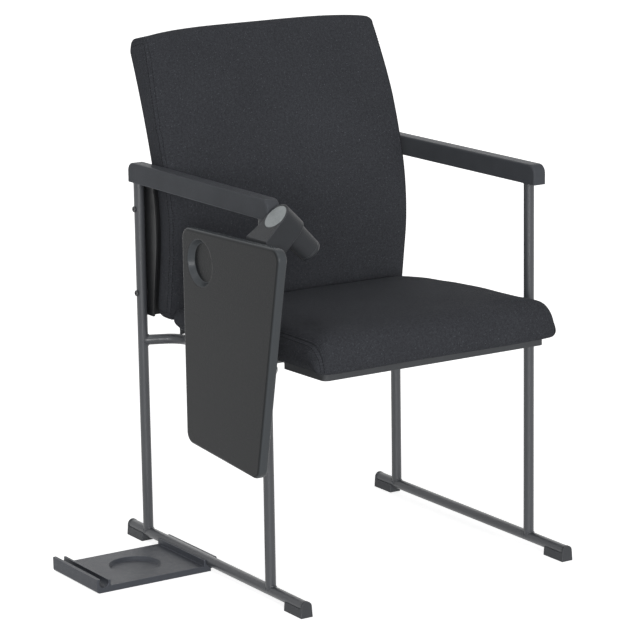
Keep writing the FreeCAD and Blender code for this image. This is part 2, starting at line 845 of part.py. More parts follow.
def head_block():
    """Round end over the axis with flanks that run out to the tablet."""
    outline = [
        V(0, head_r, washer_z),
        V(head_reach, head_r, washer_z),
        V(head_reach, -head_rear_width, washer_z),
        V(head_flare_end, -head_rear_width, washer_z),
        V(head_flare_start, -head_r, washer_z),
        V(0, -head_r, washer_z),
    ]
    block = prism(outline, V(0, 0, head_height)).fuse(pivot_disc(head_r, 0, washer_z))
    return placed(block.removeSplitter())


def plate_corners():
    top = tablet_top_z - plate_top_inset
    front = pivot_y - plate_front
    rear = pivot_y + plate_rear
    return V(tablet_inner_x, front, top - plate_height), V(tablet_inner_x + plate_t, rear, top)


def plate_screw_places():
    low, high = plate_corners()
    places = []
    for y in (low.y + plate_screw_inset, high.y - plate_screw_inset):
        for row in (0, 1):
            places.append(V(high.x, y, low.z + plate_screw_inset + row * plate_screw_pitch))
    return places


def swivel_head():
    block = head_block()
    low = V(tablet_inner_x - head_reach, pivot_y - head_reach, pivot_z - head_reach)
    block = block.cut(box(low, V(tablet_inner_x, pivot_y + head_reach, pivot_z + head_reach)))
    low, high = plate_corners()
    plate = box(low, high)
    lower = edges_along(plate, X_AXIS, lambda p: same(p.z, low.z))
    plate = plate.makeFillet(plate_corner_r, lower)
    head = block.fuse(plate).removeSplitter()
    disc_seat = pivot_disc(cover_disc_r + cover_clearance, 0, -cover_disc_seat)
    bolt_room = pivot_disc(bolt_head_d / 2 + cover_clearance, -cover_disc_seat, bolt_seat)
    bolt_hole = pivot_disc(bolt_d / 2 + running_clearance, bolt_seat, washer_z)
    for tool in (disc_seat, bolt_room, bolt_hole, stop_groove()):
        head = head.cut(placed(tool))
    for seat in plate_screw_places():
        head = head.cut(screw_hole(seat, X_AXIS * -1, wood_screw, plate_t))
    return head


def cover_disc():
    top = cover_disc_t - cover_disc_seat
    disc = pivot_disc(cover_disc_r, top, -cover_disc_seat)
    rim = [edge for edge in disc.Edges if same(edge.BoundBox.ZMin, top)]
    return placed(disc.makeFillet(cover_disc_edge_r, rim))


def pivot_bolt():
    head = pivot_disc(bolt_head_d / 2, bolt_seat + bolt_head_h, bolt_seat)
    return placed(head.fuse(pivot_disc(bolt_d / 2, bolt_seat, bolt_tip)).removeSplitter())


def friction_washer():
    ring = pivot_disc(friction_washer_r, washer_z, housing_top)
    ring = ring.cut(pivot_disc(bolt_d / 2 + running_clearance + plug_clearance, washer_z, housing_top))
    return placed(ring.cut(pin_rod(stop_pin_d / 2 + plug_clearance, housing_top, friction_washer_t)))


def housing_envelope():
    return placed(Part.makeCone(housing_end_r, housing_top_r, housing_height, V(0, 0, housing_bottom)))


def pivot_housing():
    body = Part.makeCone(housing_end_r, housing_top_r, housing_height, V(0, 0, housing_bottom))
    body = body.cut(pivot_disc(bush_r + plug_clearance, housing_top, cavity_top))
    body = body.cut(pivot_disc(spring_cavity_r, cavity_top, housing_bottom))
    pin_room = pin_rod(stop_pin_d / 2 + plug_clearance, housing_top - stop_pin_depth, stop_pin_depth)
    return placed(body.cut(pin_room))


def pivot_bush():
    ring = pivot_disc(bush_r, housing_top, cavity_top)
    return placed(ring.cut(pivot_disc(bolt_d / 2 + running_clearance, housing_top, cavity_top)))


def disc_springs():
    springs = []
    for i in range(disc_spring_count):
        top = cavity_top - i * disc_spring_t
        ring = pivot_disc(disc_spring_r, top, top - disc_spring_t)
        springs.append(ring.cut(pivot_disc(bolt_d / 2 + plug_clearance, top, top - disc_spring_t)))
    return placed(Part.makeCompound(springs))


def pivot_nut():
    corner = nut_width / math.sqrt(3)
    points = []
    for i in range(6):
        turn = math.radians(60 * i)
        points.append(V(corner * math.cos(turn), corner * math.sin(turn), nut_top - nut_height))
    nut = prism(points, V(0, 0, nut_height))
    return placed(nut.cut(pivot_disc(bolt_d / 2 + plug_clearance, nut_top, nut_top - nut_height)))


def end_cap():
    dome = pivot_disc(housing_end_r, housing_bottom, housing_bottom - end_cap_t)
    rim = [edge for edge in dome.Edges if same(edge.BoundBox.ZMax, housing_bottom - end_cap_t)]
    dome = dome.makeFillet(end_cap_r, rim)
    spigot = pivot_disc(spring_cavity_r - spigot_clearance, housing_bottom + end_cap_spigot, housing_bottom)
    return placed(dome.fuse(spigot).removeSplitter())


def stop_pin():
    length = stop_pin_depth + friction_washer_t + stop_pin_reach
    return placed(pin_rod(stop_pin_d / 2, housing_top - stop_pin_depth, length))


def pivot_arm():
    """Round support bar from the front leg to the pivot housing."""
    middle = pivot_place.multVec(V(0, 0, housing_top - pivot_arm_drop))
    bar = rod(V(-half_frame, front_leg_y, middle.z), middle, pivot_arm_d / 2)
    return bar.cut(leg_rod(-half_frame, front_leg_y)).cut(housing_envelope())


# Writing tablet

def tablet_outline():
    top = tablet_top_z
    bottom = tablet_top_z - tablet_height
    x = tablet_outer_x
    return [
        V(x, tablet_rear_y, top),
        V(x, tablet_rear_y - tablet_top_width, top + tablet_top_rise),
        V(x, tablet_rear_y - tablet_bottom_width, bottom - tablet_bottom_drop),
        V(x, tablet_rear_y, bottom),
    ]


def tablet():
    board = Part.Face(rounded_outline(tablet_outline(), tablet_corner_r)).extrude(V(tablet_t, 0, 0))
    rims = [edge for edge in board.Edges if abs(edge.BoundBox.XLength) < 0.01]
    board = board.makeFillet(tablet_edge_r, rims)
    middle = V(tablet_outer_x, tablet_rear_y - cup_rear_inset, tablet_top_z - cup_top_inset)
    board = board.cut(Part.makeCone(cup_r, cup_floor_r, cup_depth, middle, X_AXIS))
    depth = plate_t + tablet_screw_grip + pilot_spare
    for seat in plate_screw_places():
        board = board.cut(screw_hole(seat, X_AXIS * -1, wood_screw, depth))
    return board


def tablet_screws():
    shank = plate_t + tablet_screw_grip
    places = plate_screw_places()
    return Part.makeCompound([screw(seat, X_AXIS * -1, wood_screw, shank) for seat in places])


# Row link

def row_link():
    """Floor plate with a channel round the chair's own runner and one for the next chair's runner."""
    own = -half_frame
    other = own - link_pitch
    channel_r = tube_r + channel_clearance
    outer_r = channel_r + link_wall
    front = link_rear_y - link_length
    inner_top = runner_z + link_inner_lip
    outer_top = runner_z + link_outer_lip
    link = box(V(other - outer_r, front, 0), V(own, link_rear_y, link_plate_t))
    link = link.fuse(box(V(other - outer_r, front, 0), V(other, link_rear_y, outer_top)))
    link = link.fuse(box(V(other, front, 0), V(other + outer_r, link_rear_y, inner_top)))
    link = link.fuse(box(V(own - outer_r, front, 0), V(own, link_rear_y, inner_top)))
    clip = Part.makeCylinder(outer_r, link_length, V(own, front, runner_z), Y_AXIS)
    link = link.fuse(clip.common(box(V(own, front, 0), V(own + outer_r, link_rear_y, outer_top))))
    for x in (own, other):
        link = link.cut(Part.makeCylinder(channel_r, link_length, V(x, front, runner_z), Y_AXIS))
    link = link.cut(box(V(own - outer_r, front, inner_top), V(own, link_rear_y, outer_top + outer_r)))
    middle = V((own + other) / 2, front + link_length / 2, link_plate_t - link_recess_depth)
    link = link.cut(Part.makeCone(link_recess_floor_r, link_recess_r, link_recess_depth, middle))
    link = link.removeSplitter()
    edge = other - outer_r
    lower = edges_along(link, Y_AXIS, lambda p: same(p.x, edge) and same(p.z, 0))
    link = link.makeFillet(link_lower_r, lower)
    return link.makeFillet(link_edge_r, edges_along(link, Z_AXIS, lambda p: same(p.x, edge)))


def build():
    parts = {}
    for name, side in sides:
        x = side * half_frame
        parts[name + "_runner"] = runner(x)
        parts[name + "_front_leg"] = leg(x, front_leg_y)
        parts[name + "_rear_leg"] = rear_leg(x, side)
        parts[name + "_front_foot"] = foot(x, -1)
        parts[name + "_rear_foot"] = foot(x, 1)
        parts[name + "_arm_bar"] = arm_bar(x)
        parts[name + "_arm_pad"] = arm_pad(x)
        parts[name + "_seat_rail"] = seat_rail(side)
        parts[name + "_back_bracket"] = back_bracket(side)
    parts["arm_screws"] = arm_screws()
    parts["front_cross_tube"] = cross_tube(cross_tube_places[0])
    parts["rear_cross_tube"] = cross_tube(cross_tube_places[1])
    parts["seat_saddles"] = seat_saddles()
    parts["seat_screws"] = seat_screws()
    parts["seat_pan"] = seat_pan()
    parts["seat_board"] = seat_board()
    parts["seat_cushion"] = seat_cushion()
    parts["back_cushion"] = back_cushion()
    parts["back_board"] = back_panel(back_board_inset, back_board_depth, back_board_t)
    parts["back_shell"] = back_panel(back_shell_inset, back_shell_depth, back_shell_t)
    parts["back_screws"] = back_screws()
    parts["leg_screws"] = leg_screws()
    parts["pivot_arm"] = pivot_arm()
    parts["pivot_housing"] = pivot_housing()
    parts["pivot_bush"] = pivot_bush()
    parts["friction_washer"] = friction_washer()
    parts["stop_pin"] = stop_pin()
    parts["end_cap"] = end_cap()
    parts["swivel_head"] = swivel_head()
    parts["cover_disc"] = cover_disc()
    parts["pivot_bolt"] = pivot_bolt()
    parts["disc_springs"] = disc_springs()
    parts["pivot_nut"] = pivot_nut()
    parts["tablet"] = tablet()
    parts["tablet_screws"] = tablet_screws()
    parts["row_link"] = row_link()
    return parts


def main():
    parts = build()
    whole = FreeCAD.BoundBox()
    for shape in parts.values():
        whole.add(shape.optimalBoundingBox(False, False))
    move = V(-whole.Center.x, -whole.Center.y, -whole.ZMin)
    os.makedirs("parts", exist_ok=True)
    for name, shape in parts.items():
        shape.translate(move)
        shape.exportStep("parts/" + name + ".step")
        if not shape.isValid() or len(shape.Solids) == 0:
            print("check", name, shape.isValid(), len(shape.Solids))
    pivot = V(pivot_x, pivot_y, pivot_z) + move
    print("parts", len(parts))
    print("size", whole.XLength, whole.YLength, whole.ZLength)
    print("moved", move)
    print("tablet pivot", pivot, "axis", pivot_axis)
    print("runner axis", V(-half_frame, 0, runner_z) + move)


main()
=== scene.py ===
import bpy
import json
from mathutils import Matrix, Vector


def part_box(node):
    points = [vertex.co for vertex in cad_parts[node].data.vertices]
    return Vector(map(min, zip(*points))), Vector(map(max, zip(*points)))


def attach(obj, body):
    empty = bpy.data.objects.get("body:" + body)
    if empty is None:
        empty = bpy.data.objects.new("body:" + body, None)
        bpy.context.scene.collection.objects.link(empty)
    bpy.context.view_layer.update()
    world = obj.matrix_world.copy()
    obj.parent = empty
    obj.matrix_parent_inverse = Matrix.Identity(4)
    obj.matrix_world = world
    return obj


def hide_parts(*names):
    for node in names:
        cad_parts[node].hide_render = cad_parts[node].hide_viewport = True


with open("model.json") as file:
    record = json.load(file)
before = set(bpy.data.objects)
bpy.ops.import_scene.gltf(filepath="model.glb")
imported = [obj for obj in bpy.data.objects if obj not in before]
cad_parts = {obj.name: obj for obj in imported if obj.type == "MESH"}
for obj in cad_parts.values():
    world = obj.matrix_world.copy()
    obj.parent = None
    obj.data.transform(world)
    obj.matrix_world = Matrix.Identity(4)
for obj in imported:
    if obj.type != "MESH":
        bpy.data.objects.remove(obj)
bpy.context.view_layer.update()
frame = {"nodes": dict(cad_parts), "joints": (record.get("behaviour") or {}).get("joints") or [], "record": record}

import json
import math

import bmesh
import bpy
import numpy as np
from bpy.props import FloatProperty, FloatVectorProperty, PointerProperty
from mathutils import Matrix, Vector, noise
from mathutils.bvhtree import BVHTree

bl_info = {
    "name": "Visitor chair finishes",
    "version": (1, 0, 0),
    "blender": (4, 5, 0),
    "location": "3D View > Sidebar > Chair",
    "description": "Upholstery, finishes, welds, screws and stage of a visitor chair with a writing tablet",
    "category": "Object",
}

# Places are given from the middle of the two runners on the floor, in metres.
runner_low, runner_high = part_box("left_runner")
middle = Vector(((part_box("right_runner")[0].x + runner_high.x) / 2, (runner_low.y + runner_high.y) / 2, 0))
tube_r = (runner_high.x - runner_low.x) / 2
half_frame = runner_high.x - tube_r - middle.x
runner_z = runner_high.z - tube_r


def box_middle(node):
    low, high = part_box(node)
    return (low + high) / 2


front_leg_y = box_middle("left_front_leg").y - middle.y
rear_leg_y = box_middle("left_rear_leg").y - middle.y
arm_bottom_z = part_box("left_arm_pad")[0].z
frame_sides = (1, -1)
tablet_pivot = next(joint for joint in frame["joints"] if joint["name"] == "tablet_swing")


def at(x, y, z):
    return Vector((x, y, z)) + middle


# Settings

def setting(kind, **limits):
    """Maker of settings of one kind, each from a name, a description and a default."""
    def make(name, description, default):
        return kind(name=name, description=description, default=default, **limits)
    return make


length = setting(FloatProperty, subtype="DISTANCE", unit="LENGTH", precision=4)
tint = setting(FloatVectorProperty, subtype="COLOR", size=3, min=0, max=1)
share_of_one = setting(FloatProperty, subtype="FACTOR", min=0, max=1)
level = setting(FloatProperty, min=0)


class UpholsterySettings(bpy.types.PropertyGroup):
    thread_light: tint("Light thread", "Colour of the lighter yarn", (0.0645, 0.0675, 0.0765))
    thread_dark: tint("Dark thread", "Colour of the darker yarn", (0.0310, 0.0325, 0.0375))
    thread_pitch: length("Thread pitch", "Distance between two threads of the weave", 0.0011)
    seat_crown: length("Seat crown", "Rise of the seat's middle over its side seams", 0.017)
    back_crown: length("Back crown", "Rise of the back's middle over its side seams", 0.0075)
    seam_depth: length("Seam depth", "Depth of the valley along a seam", 0.0022)
    puff_limit: length("Puff limit", "Most that the cover swells", 0.004)
    stitch_pitch: length("Stitch pitch", "Distance between two stitches", 0.0052)
    stitch_offset: length("Stitch offset", "Distance of a row of stitches from its seam", 0.0036)


class FinishSettings(bpy.types.PropertyGroup):
    powder_coat: tint("Powder coat", "Colour of the tubes", (0.052, 0.0552, 0.0615))
    # Painted shade: the brackets get a near-black copy of the tubes' coat for the shade they sit in.
    shaded_bracket_colour: tint("Brackets", "Colour of the back brackets", (0.012, 0.0125, 0.0135))
    arm_colour: tint("Arms", "Colour of the arm pads", (0.065, 0.0690, 0.0765))
    foot_colour: tint("Feet", "Colour of the runner feet", (0.054, 0.0565, 0.061))
    pan_colour: tint("Seat pan", "Colour of the seat pan and saddles", (0.060, 0.063, 0.067))
    shell_colour: tint("Back shell", "Colour of the shell behind the back", (0.032, 0.034, 0.037))
    pivot_colour: tint("Pivot", "Colour of the swivel head and its housing", (0.0270, 0.0292, 0.0328))
    disc_colour: tint("Cover disc", "Colour of the disc on the swivel head", (0.26, 0.28, 0.285))
    tablet_colour: tint("Tablet", "Colour of the tablet's lacquer", (0.0125, 0.0137, 0.0148))
    link_colour: tint("Row link", "Colour of the row link", (0.052, 0.0562, 0.0665))
    weld_size: length("Weld size", "Half the width of a weld bead", 0.0017)


class StageSettings(bpy.types.PropertyGroup):
    floor_tone: share_of_one("Floor tone", "Brightness of the floor's own colour", 0.8)
    floor_glow: share_of_one("Floor glow", "Share of white that the camera sees on the floor", 0.75)
    key_strength: level("Key light", "Strength of the lamp beside the camera", 1.25)
    front_strength: level("Front light", "Strength of the lamp ahead of the chair", 0.85)
    rear_strength: level("Rear light", "Strength of the lamp behind the chair", 0.4)
    top_strength: level("Top light", "Strength of the lamp overhead", 0.5)
    ambient: level("Ambient light", "Strength of the light from all round", 0.30)


class ChairSettings(bpy.types.PropertyGroup):
    upholstery: PointerProperty(type=UpholsterySettings)
    finish: PointerProperty(type=FinishSettings)
    stage: PointerProperty(type=StageSettings)


# Materials

class Nodes:
    """Adds nodes to a tree. Each input takes a value or a link."""

    def __init__(self, tree):
        self.tree = tree

    def node(self, kind, inputs=None, **attributes):
        made = self.tree.nodes.new("ShaderNode" + kind)
        for name, value in attributes.items():
            setattr(made, name, value)
        for socket, value in (inputs or {}).items():
            if isinstance(value, bpy.types.NodeSocket):
                self.tree.links.new(value, made.inputs[socket])
            else:
                made.inputs[socket].default_value = value
        return made

    def maths(self, operation, a, b=0.0):
        return self.node("Math", {0: a, 1: b}, operation=operation).outputs[0]

    def times(self, a, b):
        return self.maths("MULTIPLY", a, b)

    def vector(self, operation, a, b):
        return self.node("VectorMath", {0: a, 1: b}, operation=operation).outputs[0]

    def measure(self, operation, a, b=(0, 0, 0)):
        return self.node("VectorMath", {0: a, 1: b}, operation=operation).outputs["Value"]

    def stretched(self, a, factor):
        return self.node("VectorMath", {0: a, "Scale": factor}, operation="SCALE").outputs[0]

    def spread(self, value, low, high):
        """The value from 0 to 1 spread over a range."""
        return self.node("MapRange", {"Value": value, "To Min": low, "To Max": high}).outputs[0]

    def between(self, value, start, end, low=0.0, high=1.0):
        """Low at the start value and high at the end value, held beyond both."""
        inputs = {"Value": value, "From Min": start, "From Max": end, "To Min": low, "To Max": high}
        return self.node("MapRange", inputs).outputs[0]

    def mix(self, share, low, high):
        """Blend of two colours."""
        low, high = (c if isinstance(c, bpy.types.NodeSocket) else (*c[:3], 1) for c in (low, high))
        return self.node("Mix", {0: share, 6: low, 7: high}, data_type="RGBA").outputs[2]

    def seen_ray(self):
        """1 for rays that the camera sees straight, in a reflection or through glass."""
        path = self.node("LightPath").outputs
        seen = self.maths("ADD", path["Is Camera Ray"], path["Is Glossy Ray"])
        through = {0: seen, 1: path["Is Transmission Ray"]}
        return self.node("Math", through, operation="ADD", use_clamp=True).outputs[0]


class Finish(Nodes):
    """A node material that is built step by step round one principled shader."""

    def __init__(self, name, **sockets):
        self.material = bpy.data.materials.new(name)
        self.material.use_nodes = True
        super().__init__(self.material.node_tree)
        self.shader = self.tree.nodes["Principled BSDF"]
        for socket, value in sockets.items():
            self.shader.inputs[socket.replace("_", " ")].default_value = value
        self.normal = None

    def place(self):
        return self.node("TexCoord").outputs["Object"]

    def grain(self, where, scale, detail=3.0):
        return self.node("TexNoise", {"Vector": where, "Scale": scale, "Detail": detail}).outputs["Fac"]

    def soft_edges(self, radius):
        self.normal = self.node("Bevel", {"Radius": radius}, samples=6).outputs[0]

    def edge_highlight_mask(self):
        """Mask of a painted highlight: 1 on sharp edges and 0 on flats, from how far a rounded edge turns away."""
        flat = self.node("NewGeometry").outputs["Normal"]
        return self.between(self.measure("DOT_PRODUCT", self.normal, flat), 0.99, 0.8)

    def bump(self, height, depth, strength=1.0):
        inputs = {"Height": height, "Distance": depth, "Strength": strength}
        if self.normal is not None:
            inputs["Normal"] = self.normal
        self.normal = self.node("Bump", inputs).outputs[0]

    def done(self, colour, roughness):
        for socket, value in (("Base Color", colour), ("Roughness", roughness), ("Normal", self.normal)):
            self.tree.links.new(value, self.shader.inputs[socket])
        return self.material


def scaled(colour, factor):
    return tuple(min(1.0, c * factor) for c in colour[:3])


def woven_cover(settings):
    """Plain weave on the cover's own map: warp and weft pass over each other in turn."""
    f = Finish("woven_cover", Specular_IOR_Level=0.07, Sheen_Weight=0.02, Sheen_Roughness=0.55,
               Sheen_Tint=(0.75, 0.78, 0.85, 1))
    cover_map = f.node("UVMap", uv_map="cover").outputs[0]
    wander = f.node("TexNoise", {"Vector": cover_map, "Scale": 45.0, "Detail": 2.0}).outputs["Color"]
    drift = f.vector("MULTIPLY", wander, (0.0006, 0.0006, 0.0))
    moved = f.vector("ADD", cover_map, drift)
    ways = f.node("SeparateXYZ", {0: f.stretched(moved, 1 / settings.thread_pitch)}).outputs[:2]
    warp, weft = (f.maths("SINE", f.times(f.maths("FRACT", way), math.pi)) for way in ways)
    column, row = (f.maths("FLOOR", way) for way in ways)
    over = f.maths("FLOORED_MODULO", f.maths("ADD", column, row), 2.0)
    warp_top = f.times(warp, f.spread(weft, 0.55, 1.0))
    weft_top = f.times(weft, f.spread(warp, 0.55, 1.0))
    height = f.node("Mix", {0: over, 2: warp_top, 3: weft_top}).outputs[0]
    cell = f.node("CombineXYZ", {0: column, 1: row}).outputs[0]
    chance = f.node("TexWhiteNoise", {"Vector": cell}, noise_dimensions="2D").outputs["Value"]
    lengthwise = f.node("CombineXYZ", {0: ways[0], 1: f.times(ways[1], 0.05)}).outputs[0]
    slub = f.grain(lengthwise, 0.9, 2.0)
    cloud = f.grain(f.place(), 9.0, 4.0)
    heather = {"Vector": cover_map, "Scale": 230.0, "Detail": 3.0, "Roughness": 0.7}
    flecks = f.node("TexNoise", heather).outputs["Fac"]
    blend = f.times(f.maths("ADD", chance, slub), 0.5)
    yarn = f.mix(blend, settings.thread_dark, settings.thread_light)
    pale_knots = f.between(chance, 0.99, 1.0, high=0.4)
    yarn = f.mix(pale_knots, yarn, scaled(settings.thread_light, 3.2))
    # Painted shade: the valleys between threads are darkened; the cloud and flecks are the yarn's own uneven tone.
    shade = f.times(f.spread(height, 0.55, 1.12), f.spread(cloud, 0.86, 1.14))
    shade = f.times(shade, f.between(flecks, 0.25, 0.75, 0.78, 1.22))
    colour = f.stretched(yarn, shade)
    f.bump(height, 0.00028)
    f.bump(f.grain(f.place(), 60.0, 3.0), 0.0006, 0.5)
    return f.done(colour, f.spread(height, 0.95, 0.8))


def sewing_thread(settings):
    f = Finish("sewing_thread", Specular_IOR_Level=0.05, Sheen_Weight=0.01, Sheen_Roughness=0.5)
    where = f.place()
    strands = {"Vector": where, "Scale": 900.0, "Distortion": 1.5}
    twist = f.node("TexWave", strands, bands_direction="DIAGONAL").outputs["Fac"]
    f.bump(twist, 0.0001)
    dark, light = scaled(settings.thread_dark, 0.2), scaled(settings.thread_light, 0.25)
    return f.done(f.mix(f.grain(where, 240.0), dark, light), f.spread(twist, 0.6, 0.8))


def powder_coat(name, colour):
    """Baked powder: a fine pebbled skin, with a painted highlight along its edges."""
    f = Finish(name, Specular_IOR_Level=0.5)
    where = f.place()
    f.soft_edges(0.0007)
    painted_edge_light = f.edge_highlight_mask()
    pebble = f.grain(where, 1500.0, 2.0)
    f.bump(pebble, 0.00016)
    f.bump(f.grain(where, 260.0, 2.0), 0.00010)
    tone = f.mix(f.grain(where, 14.0, 4.0), scaled(colour, 0.88), scaled(colour, 1.12))
    # Painted highlight: the edges are lightened to stand in for the light they catch.
    tone = f.mix(f.times(painted_edge_light, 0.45), tone, scaled(colour, 2.1))
    return f.done(tone, f.spread(pebble, 0.29, 0.36))


def moulded(name, colour, roughness, grain_size, specular=0.18, edge=0.0014):
    """Moulded plastic with a spark-eroded grain and a painted highlight on its edges."""
    f = Finish(name, Specular_IOR_Level=specular)
    where = f.place()
    f.soft_edges(edge)
    painted_edge_light = f.edge_highlight_mask()
    cells = f.node("TexVoronoi", {"Vector": where, "Scale": 1 / grain_size}).outputs["Distance"]
    f.bump(cells, 0.00012)
    f.bump(f.grain(where, 35.0, 3.0), 0.00025)
    tone = f.mix(f.grain(where, 22.0, 5.0), scaled(colour, 0.86), scaled(colour, 1.14))
    # Painted highlight: the edges are lightened to stand in for the light they catch.
    tone = f.mix(f.times(painted_edge_light, 0.55), tone, scaled(colour, 3.2))
    return f.done(tone, f.spread(f.grain(where, 130.0), roughness - 0.07, roughness + 0.07))


def lacquered_board(colour):
    """Dark lacquer on pressed board: faint fibres on its faces, with its edge bands and cup wall painted paler as
    a painted highlight.
    """
    f = Finish("lacquered_board", Specular_IOR_Level=0.12)
    where = f.place()
    f.soft_edges(0.003)
    painted_edge_light = f.edge_highlight_mask()
    across = f.node("SeparateXYZ", {0: f.node("TexCoord").outputs["Normal"]}).outputs[0]
    # Painted highlight: surfaces that turn away from the tablet's face, its edge bands and cup wall, are made
    # paler.
    painted_side_highlight = f.between(f.maths("ABSOLUTE", across), 0.97, 0.55)
    fibres = f.node("Mapping", {"Vector": where, "Scale": (1.0, 0.12, 1.0)}).outputs[0]
    peel = f.grain(where, 420.0, 2.0)
    f.bump(f.grain(fibres, 300.0, 4.0), 0.00008)
    f.bump(peel, 0.00012)
    tone = f.mix(f.grain(fibres, 26.0, 6.0), scaled(colour, 0.9), scaled(colour, 1.1))
    tone = f.mix(painted_side_highlight, tone, scaled(colour, 4.6))
    # Painted highlight: the rounded edges are lightened further.
    tone = f.mix(f.times(painted_edge_light, 0.6), tone, scaled(colour, 7.0))
    return f.done(tone, f.spread(peel, 0.22, 0.30))


def satin_disc(colour, centre, axis):
    """Satin disc turned on its face: rings round its middle."""
    ring_pitch = 0.0009
    f = Finish("satin_disc", Metallic=0.55, Specular_IOR_Level=0.5)
    f.soft_edges(0.0006)
    away = f.vector("SUBTRACT", f.place(), centre)
    along = f.measure("DOT_PRODUCT", away, axis)
    radius = f.measure("LENGTH", f.vector("SUBTRACT", away, f.stretched(axis, along)))
    rings = f.maths("SINE", f.times(radius, 2 * math.pi / ring_pitch))
    speck = f.grain(f.place(), 1800.0, 2.0)
    f.bump(rings, 0.00006)
    f.bump(speck, 0.00008)
    tone = f.mix(f.grain(f.place(), 160.0, 4.0), scaled(colour, 0.85), scaled(colour, 1.15))
    return f.done(tone, f.spread(speck, 0.38, 0.52))


def plated_steel(name, colour):
    f = Finish(name, Metallic=0.9)
    where = f.place()
    f.soft_edges(0.0004)
    painted_edge_light = f.edge_highlight_mask()
    turned = f.node("Mapping", {"Vector": where, "Scale": (1.0, 1.0, 0.1)}).outputs[0]
    marks = f.grain(turned, 900.0, 3.0)
    f.bump(marks, 0.00005)
    tone = f.mix(f.grain(where, 90.0, 4.0), scaled(colour, 0.8), scaled(colour, 1.15))
    # Painted highlight: the edges are lightened to stand in for the light they catch.
    tone = f.mix(f.times(painted_edge_light, 0.4), tone, scaled(colour, 1.8))
    return f.done(tone, f.spread(marks, 0.28, 0.46))


def plywood(colour):
    f = Finish("plywood", Specular_IOR_Level=0.3)
    where = f.place()
    long_way = f.node("Mapping", {"Vector": where, "Scale": (1.0, 0.06, 0.3)}).outputs[0]
    years = {"Vector": long_way, "Scale": 22.0, "Distortion": 9.0, "Detail": 4.0}
    growth = f.node("TexWave", years).outputs["Fac"]
    pores = f.grain(long_way, 900.0, 3.0)
    f.bump(pores, 0.0001)
    tone = f.mix(growth, scaled(colour, 0.78), scaled(colour, 1.08))
    tone = f.mix(f.times(pores, 0.35), tone, scaled(colour, 0.5))
    return f.done(tone, f.spread(growth, 0.62, 0.75))


def wear_material(slot, material):
    """Puts the material on every CAD node of the record's slot."""
    for row in frame["record"]["subparts"]:
        if row["material_slot"] == slot:
            mesh = frame["nodes"][row["node"]].data
            mesh.materials.clear()
            mesh.materials.append(material)


# Meshes

def new_object(name, data):
    made = bpy.data.objects.new(name, data)
    bpy.context.scene.collection.objects.link(made)
    return made


def new_piece(name, verts, faces, material, slot, body="frame"):
    mesh = bpy.data.meshes.new(name)
    mesh.from_pydata([tuple(v) for v in verts], [], faces)
    mesh.polygons.foreach_set("use_smooth", [True] * len(mesh.polygons))
    mesh.materials.append(material)
    piece = new_object(name, mesh)
    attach(piece, body)
    return piece


def gathered(shapes):
    """Points and faces of several shapes as those of one."""
    verts = []
    faces = []
    for more, rims in shapes:
        faces += [[len(verts) + n for n in rim] for rim in rims]
        verts += more
    return verts, faces


def turns(count):
    """Angles of points that stand evenly round a circle."""
    return [2 * math.pi * n / count for n in range(count)]


def ring_faces(rings, sides, closed=False):
    """Quads between rings of points that follow each other, and from the last to the first if closed."""
    faces = []
    for r in range(rings if closed else rings - 1):
        a, b = r * sides, (r + 1) % rings * sides
        for n in range(sides):
            m = (n + 1) % sides
            faces.append([a + n, a + m, b + m, b + n])
    return faces


def turn_faces_out(piece, merge=0.0):
    """Points the faces outwards, after points within the merge distance are made one."""
    shape = bmesh.new()
    shape.from_mesh(piece.data)
    if merge:
        bmesh.ops.remove_doubles(shape, verts=shape.verts, dist=merge)
    bmesh.ops.recalc_face_normals(shape, faces=shape.faces)
    shape.to_mesh(piece.data)
    shape.free()


class BlockSkin:
    """Closed quad skin of a grid block. Its points are placed by a function of the grid place."""

    def __init__(self, rows, place, closed_front):
        self.rows = rows
        self.place = place
        self.closed_front = closed_front
        self.number = {}
        self.verts = []
        self.faces = []
        self.cover_map = []
        self.last = tuple(len(row) - 1 for row in rows)
        for fixed, a, b in ((2, 0, 1), (1, 0, 2), (0, 1, 2)):
            for end in (0, self.last[fixed]):
                if closed_front and fixed == 0 and end == 0:
                    continue
                for p in range(self.last[a]):
                    for q in range(self.last[b]):
                        self.add_face(fixed, end, a, b, p, q)

    def key(self, spot):
        return (0, spot[1], 0) if self.closed_front and spot[0] == 0 else tuple(spot)

    def index(self, spot):
        key = self.key(spot)
        if key not in self.number:
            self.number[key] = len(self.verts)
            self.verts.append(self.place(*key))
        return self.number[key]

    def add_face(self, fixed, end, a, b, p, q):
        face = []
        spots = []
        for dp, dq in ((0, 0), (1, 0), (1, 1), (0, 1)):
            spot = [0, 0, 0]
            spot[fixed], spot[a], spot[b] = end, p + dp, q + dq
            number = self.index(spot)
            if number not in face:
                face.append(number)
                spots.append((self.rows[b][q + dq], self.rows[a][p + dp]))
        if len(face) > 2:
            self.faces.append(face)
            self.cover_map += spots

    def on(self, test):
        """Numbers of the points whose grid place passes the test."""
        return [number for key, number in self.number.items() if test(*key)]


def mirrored_rows(ends, step, whole):
    """Row places that are close together at both ends of a length."""
    inner = whole - 2 * ends[-1]
    count = max(2, round(inner / step))
    between = [ends[-1] + inner * n / count for n in range(1, count)]
    return ends + between + [whole - e for e in reversed(ends)]


SWELL_FRAMES = 20


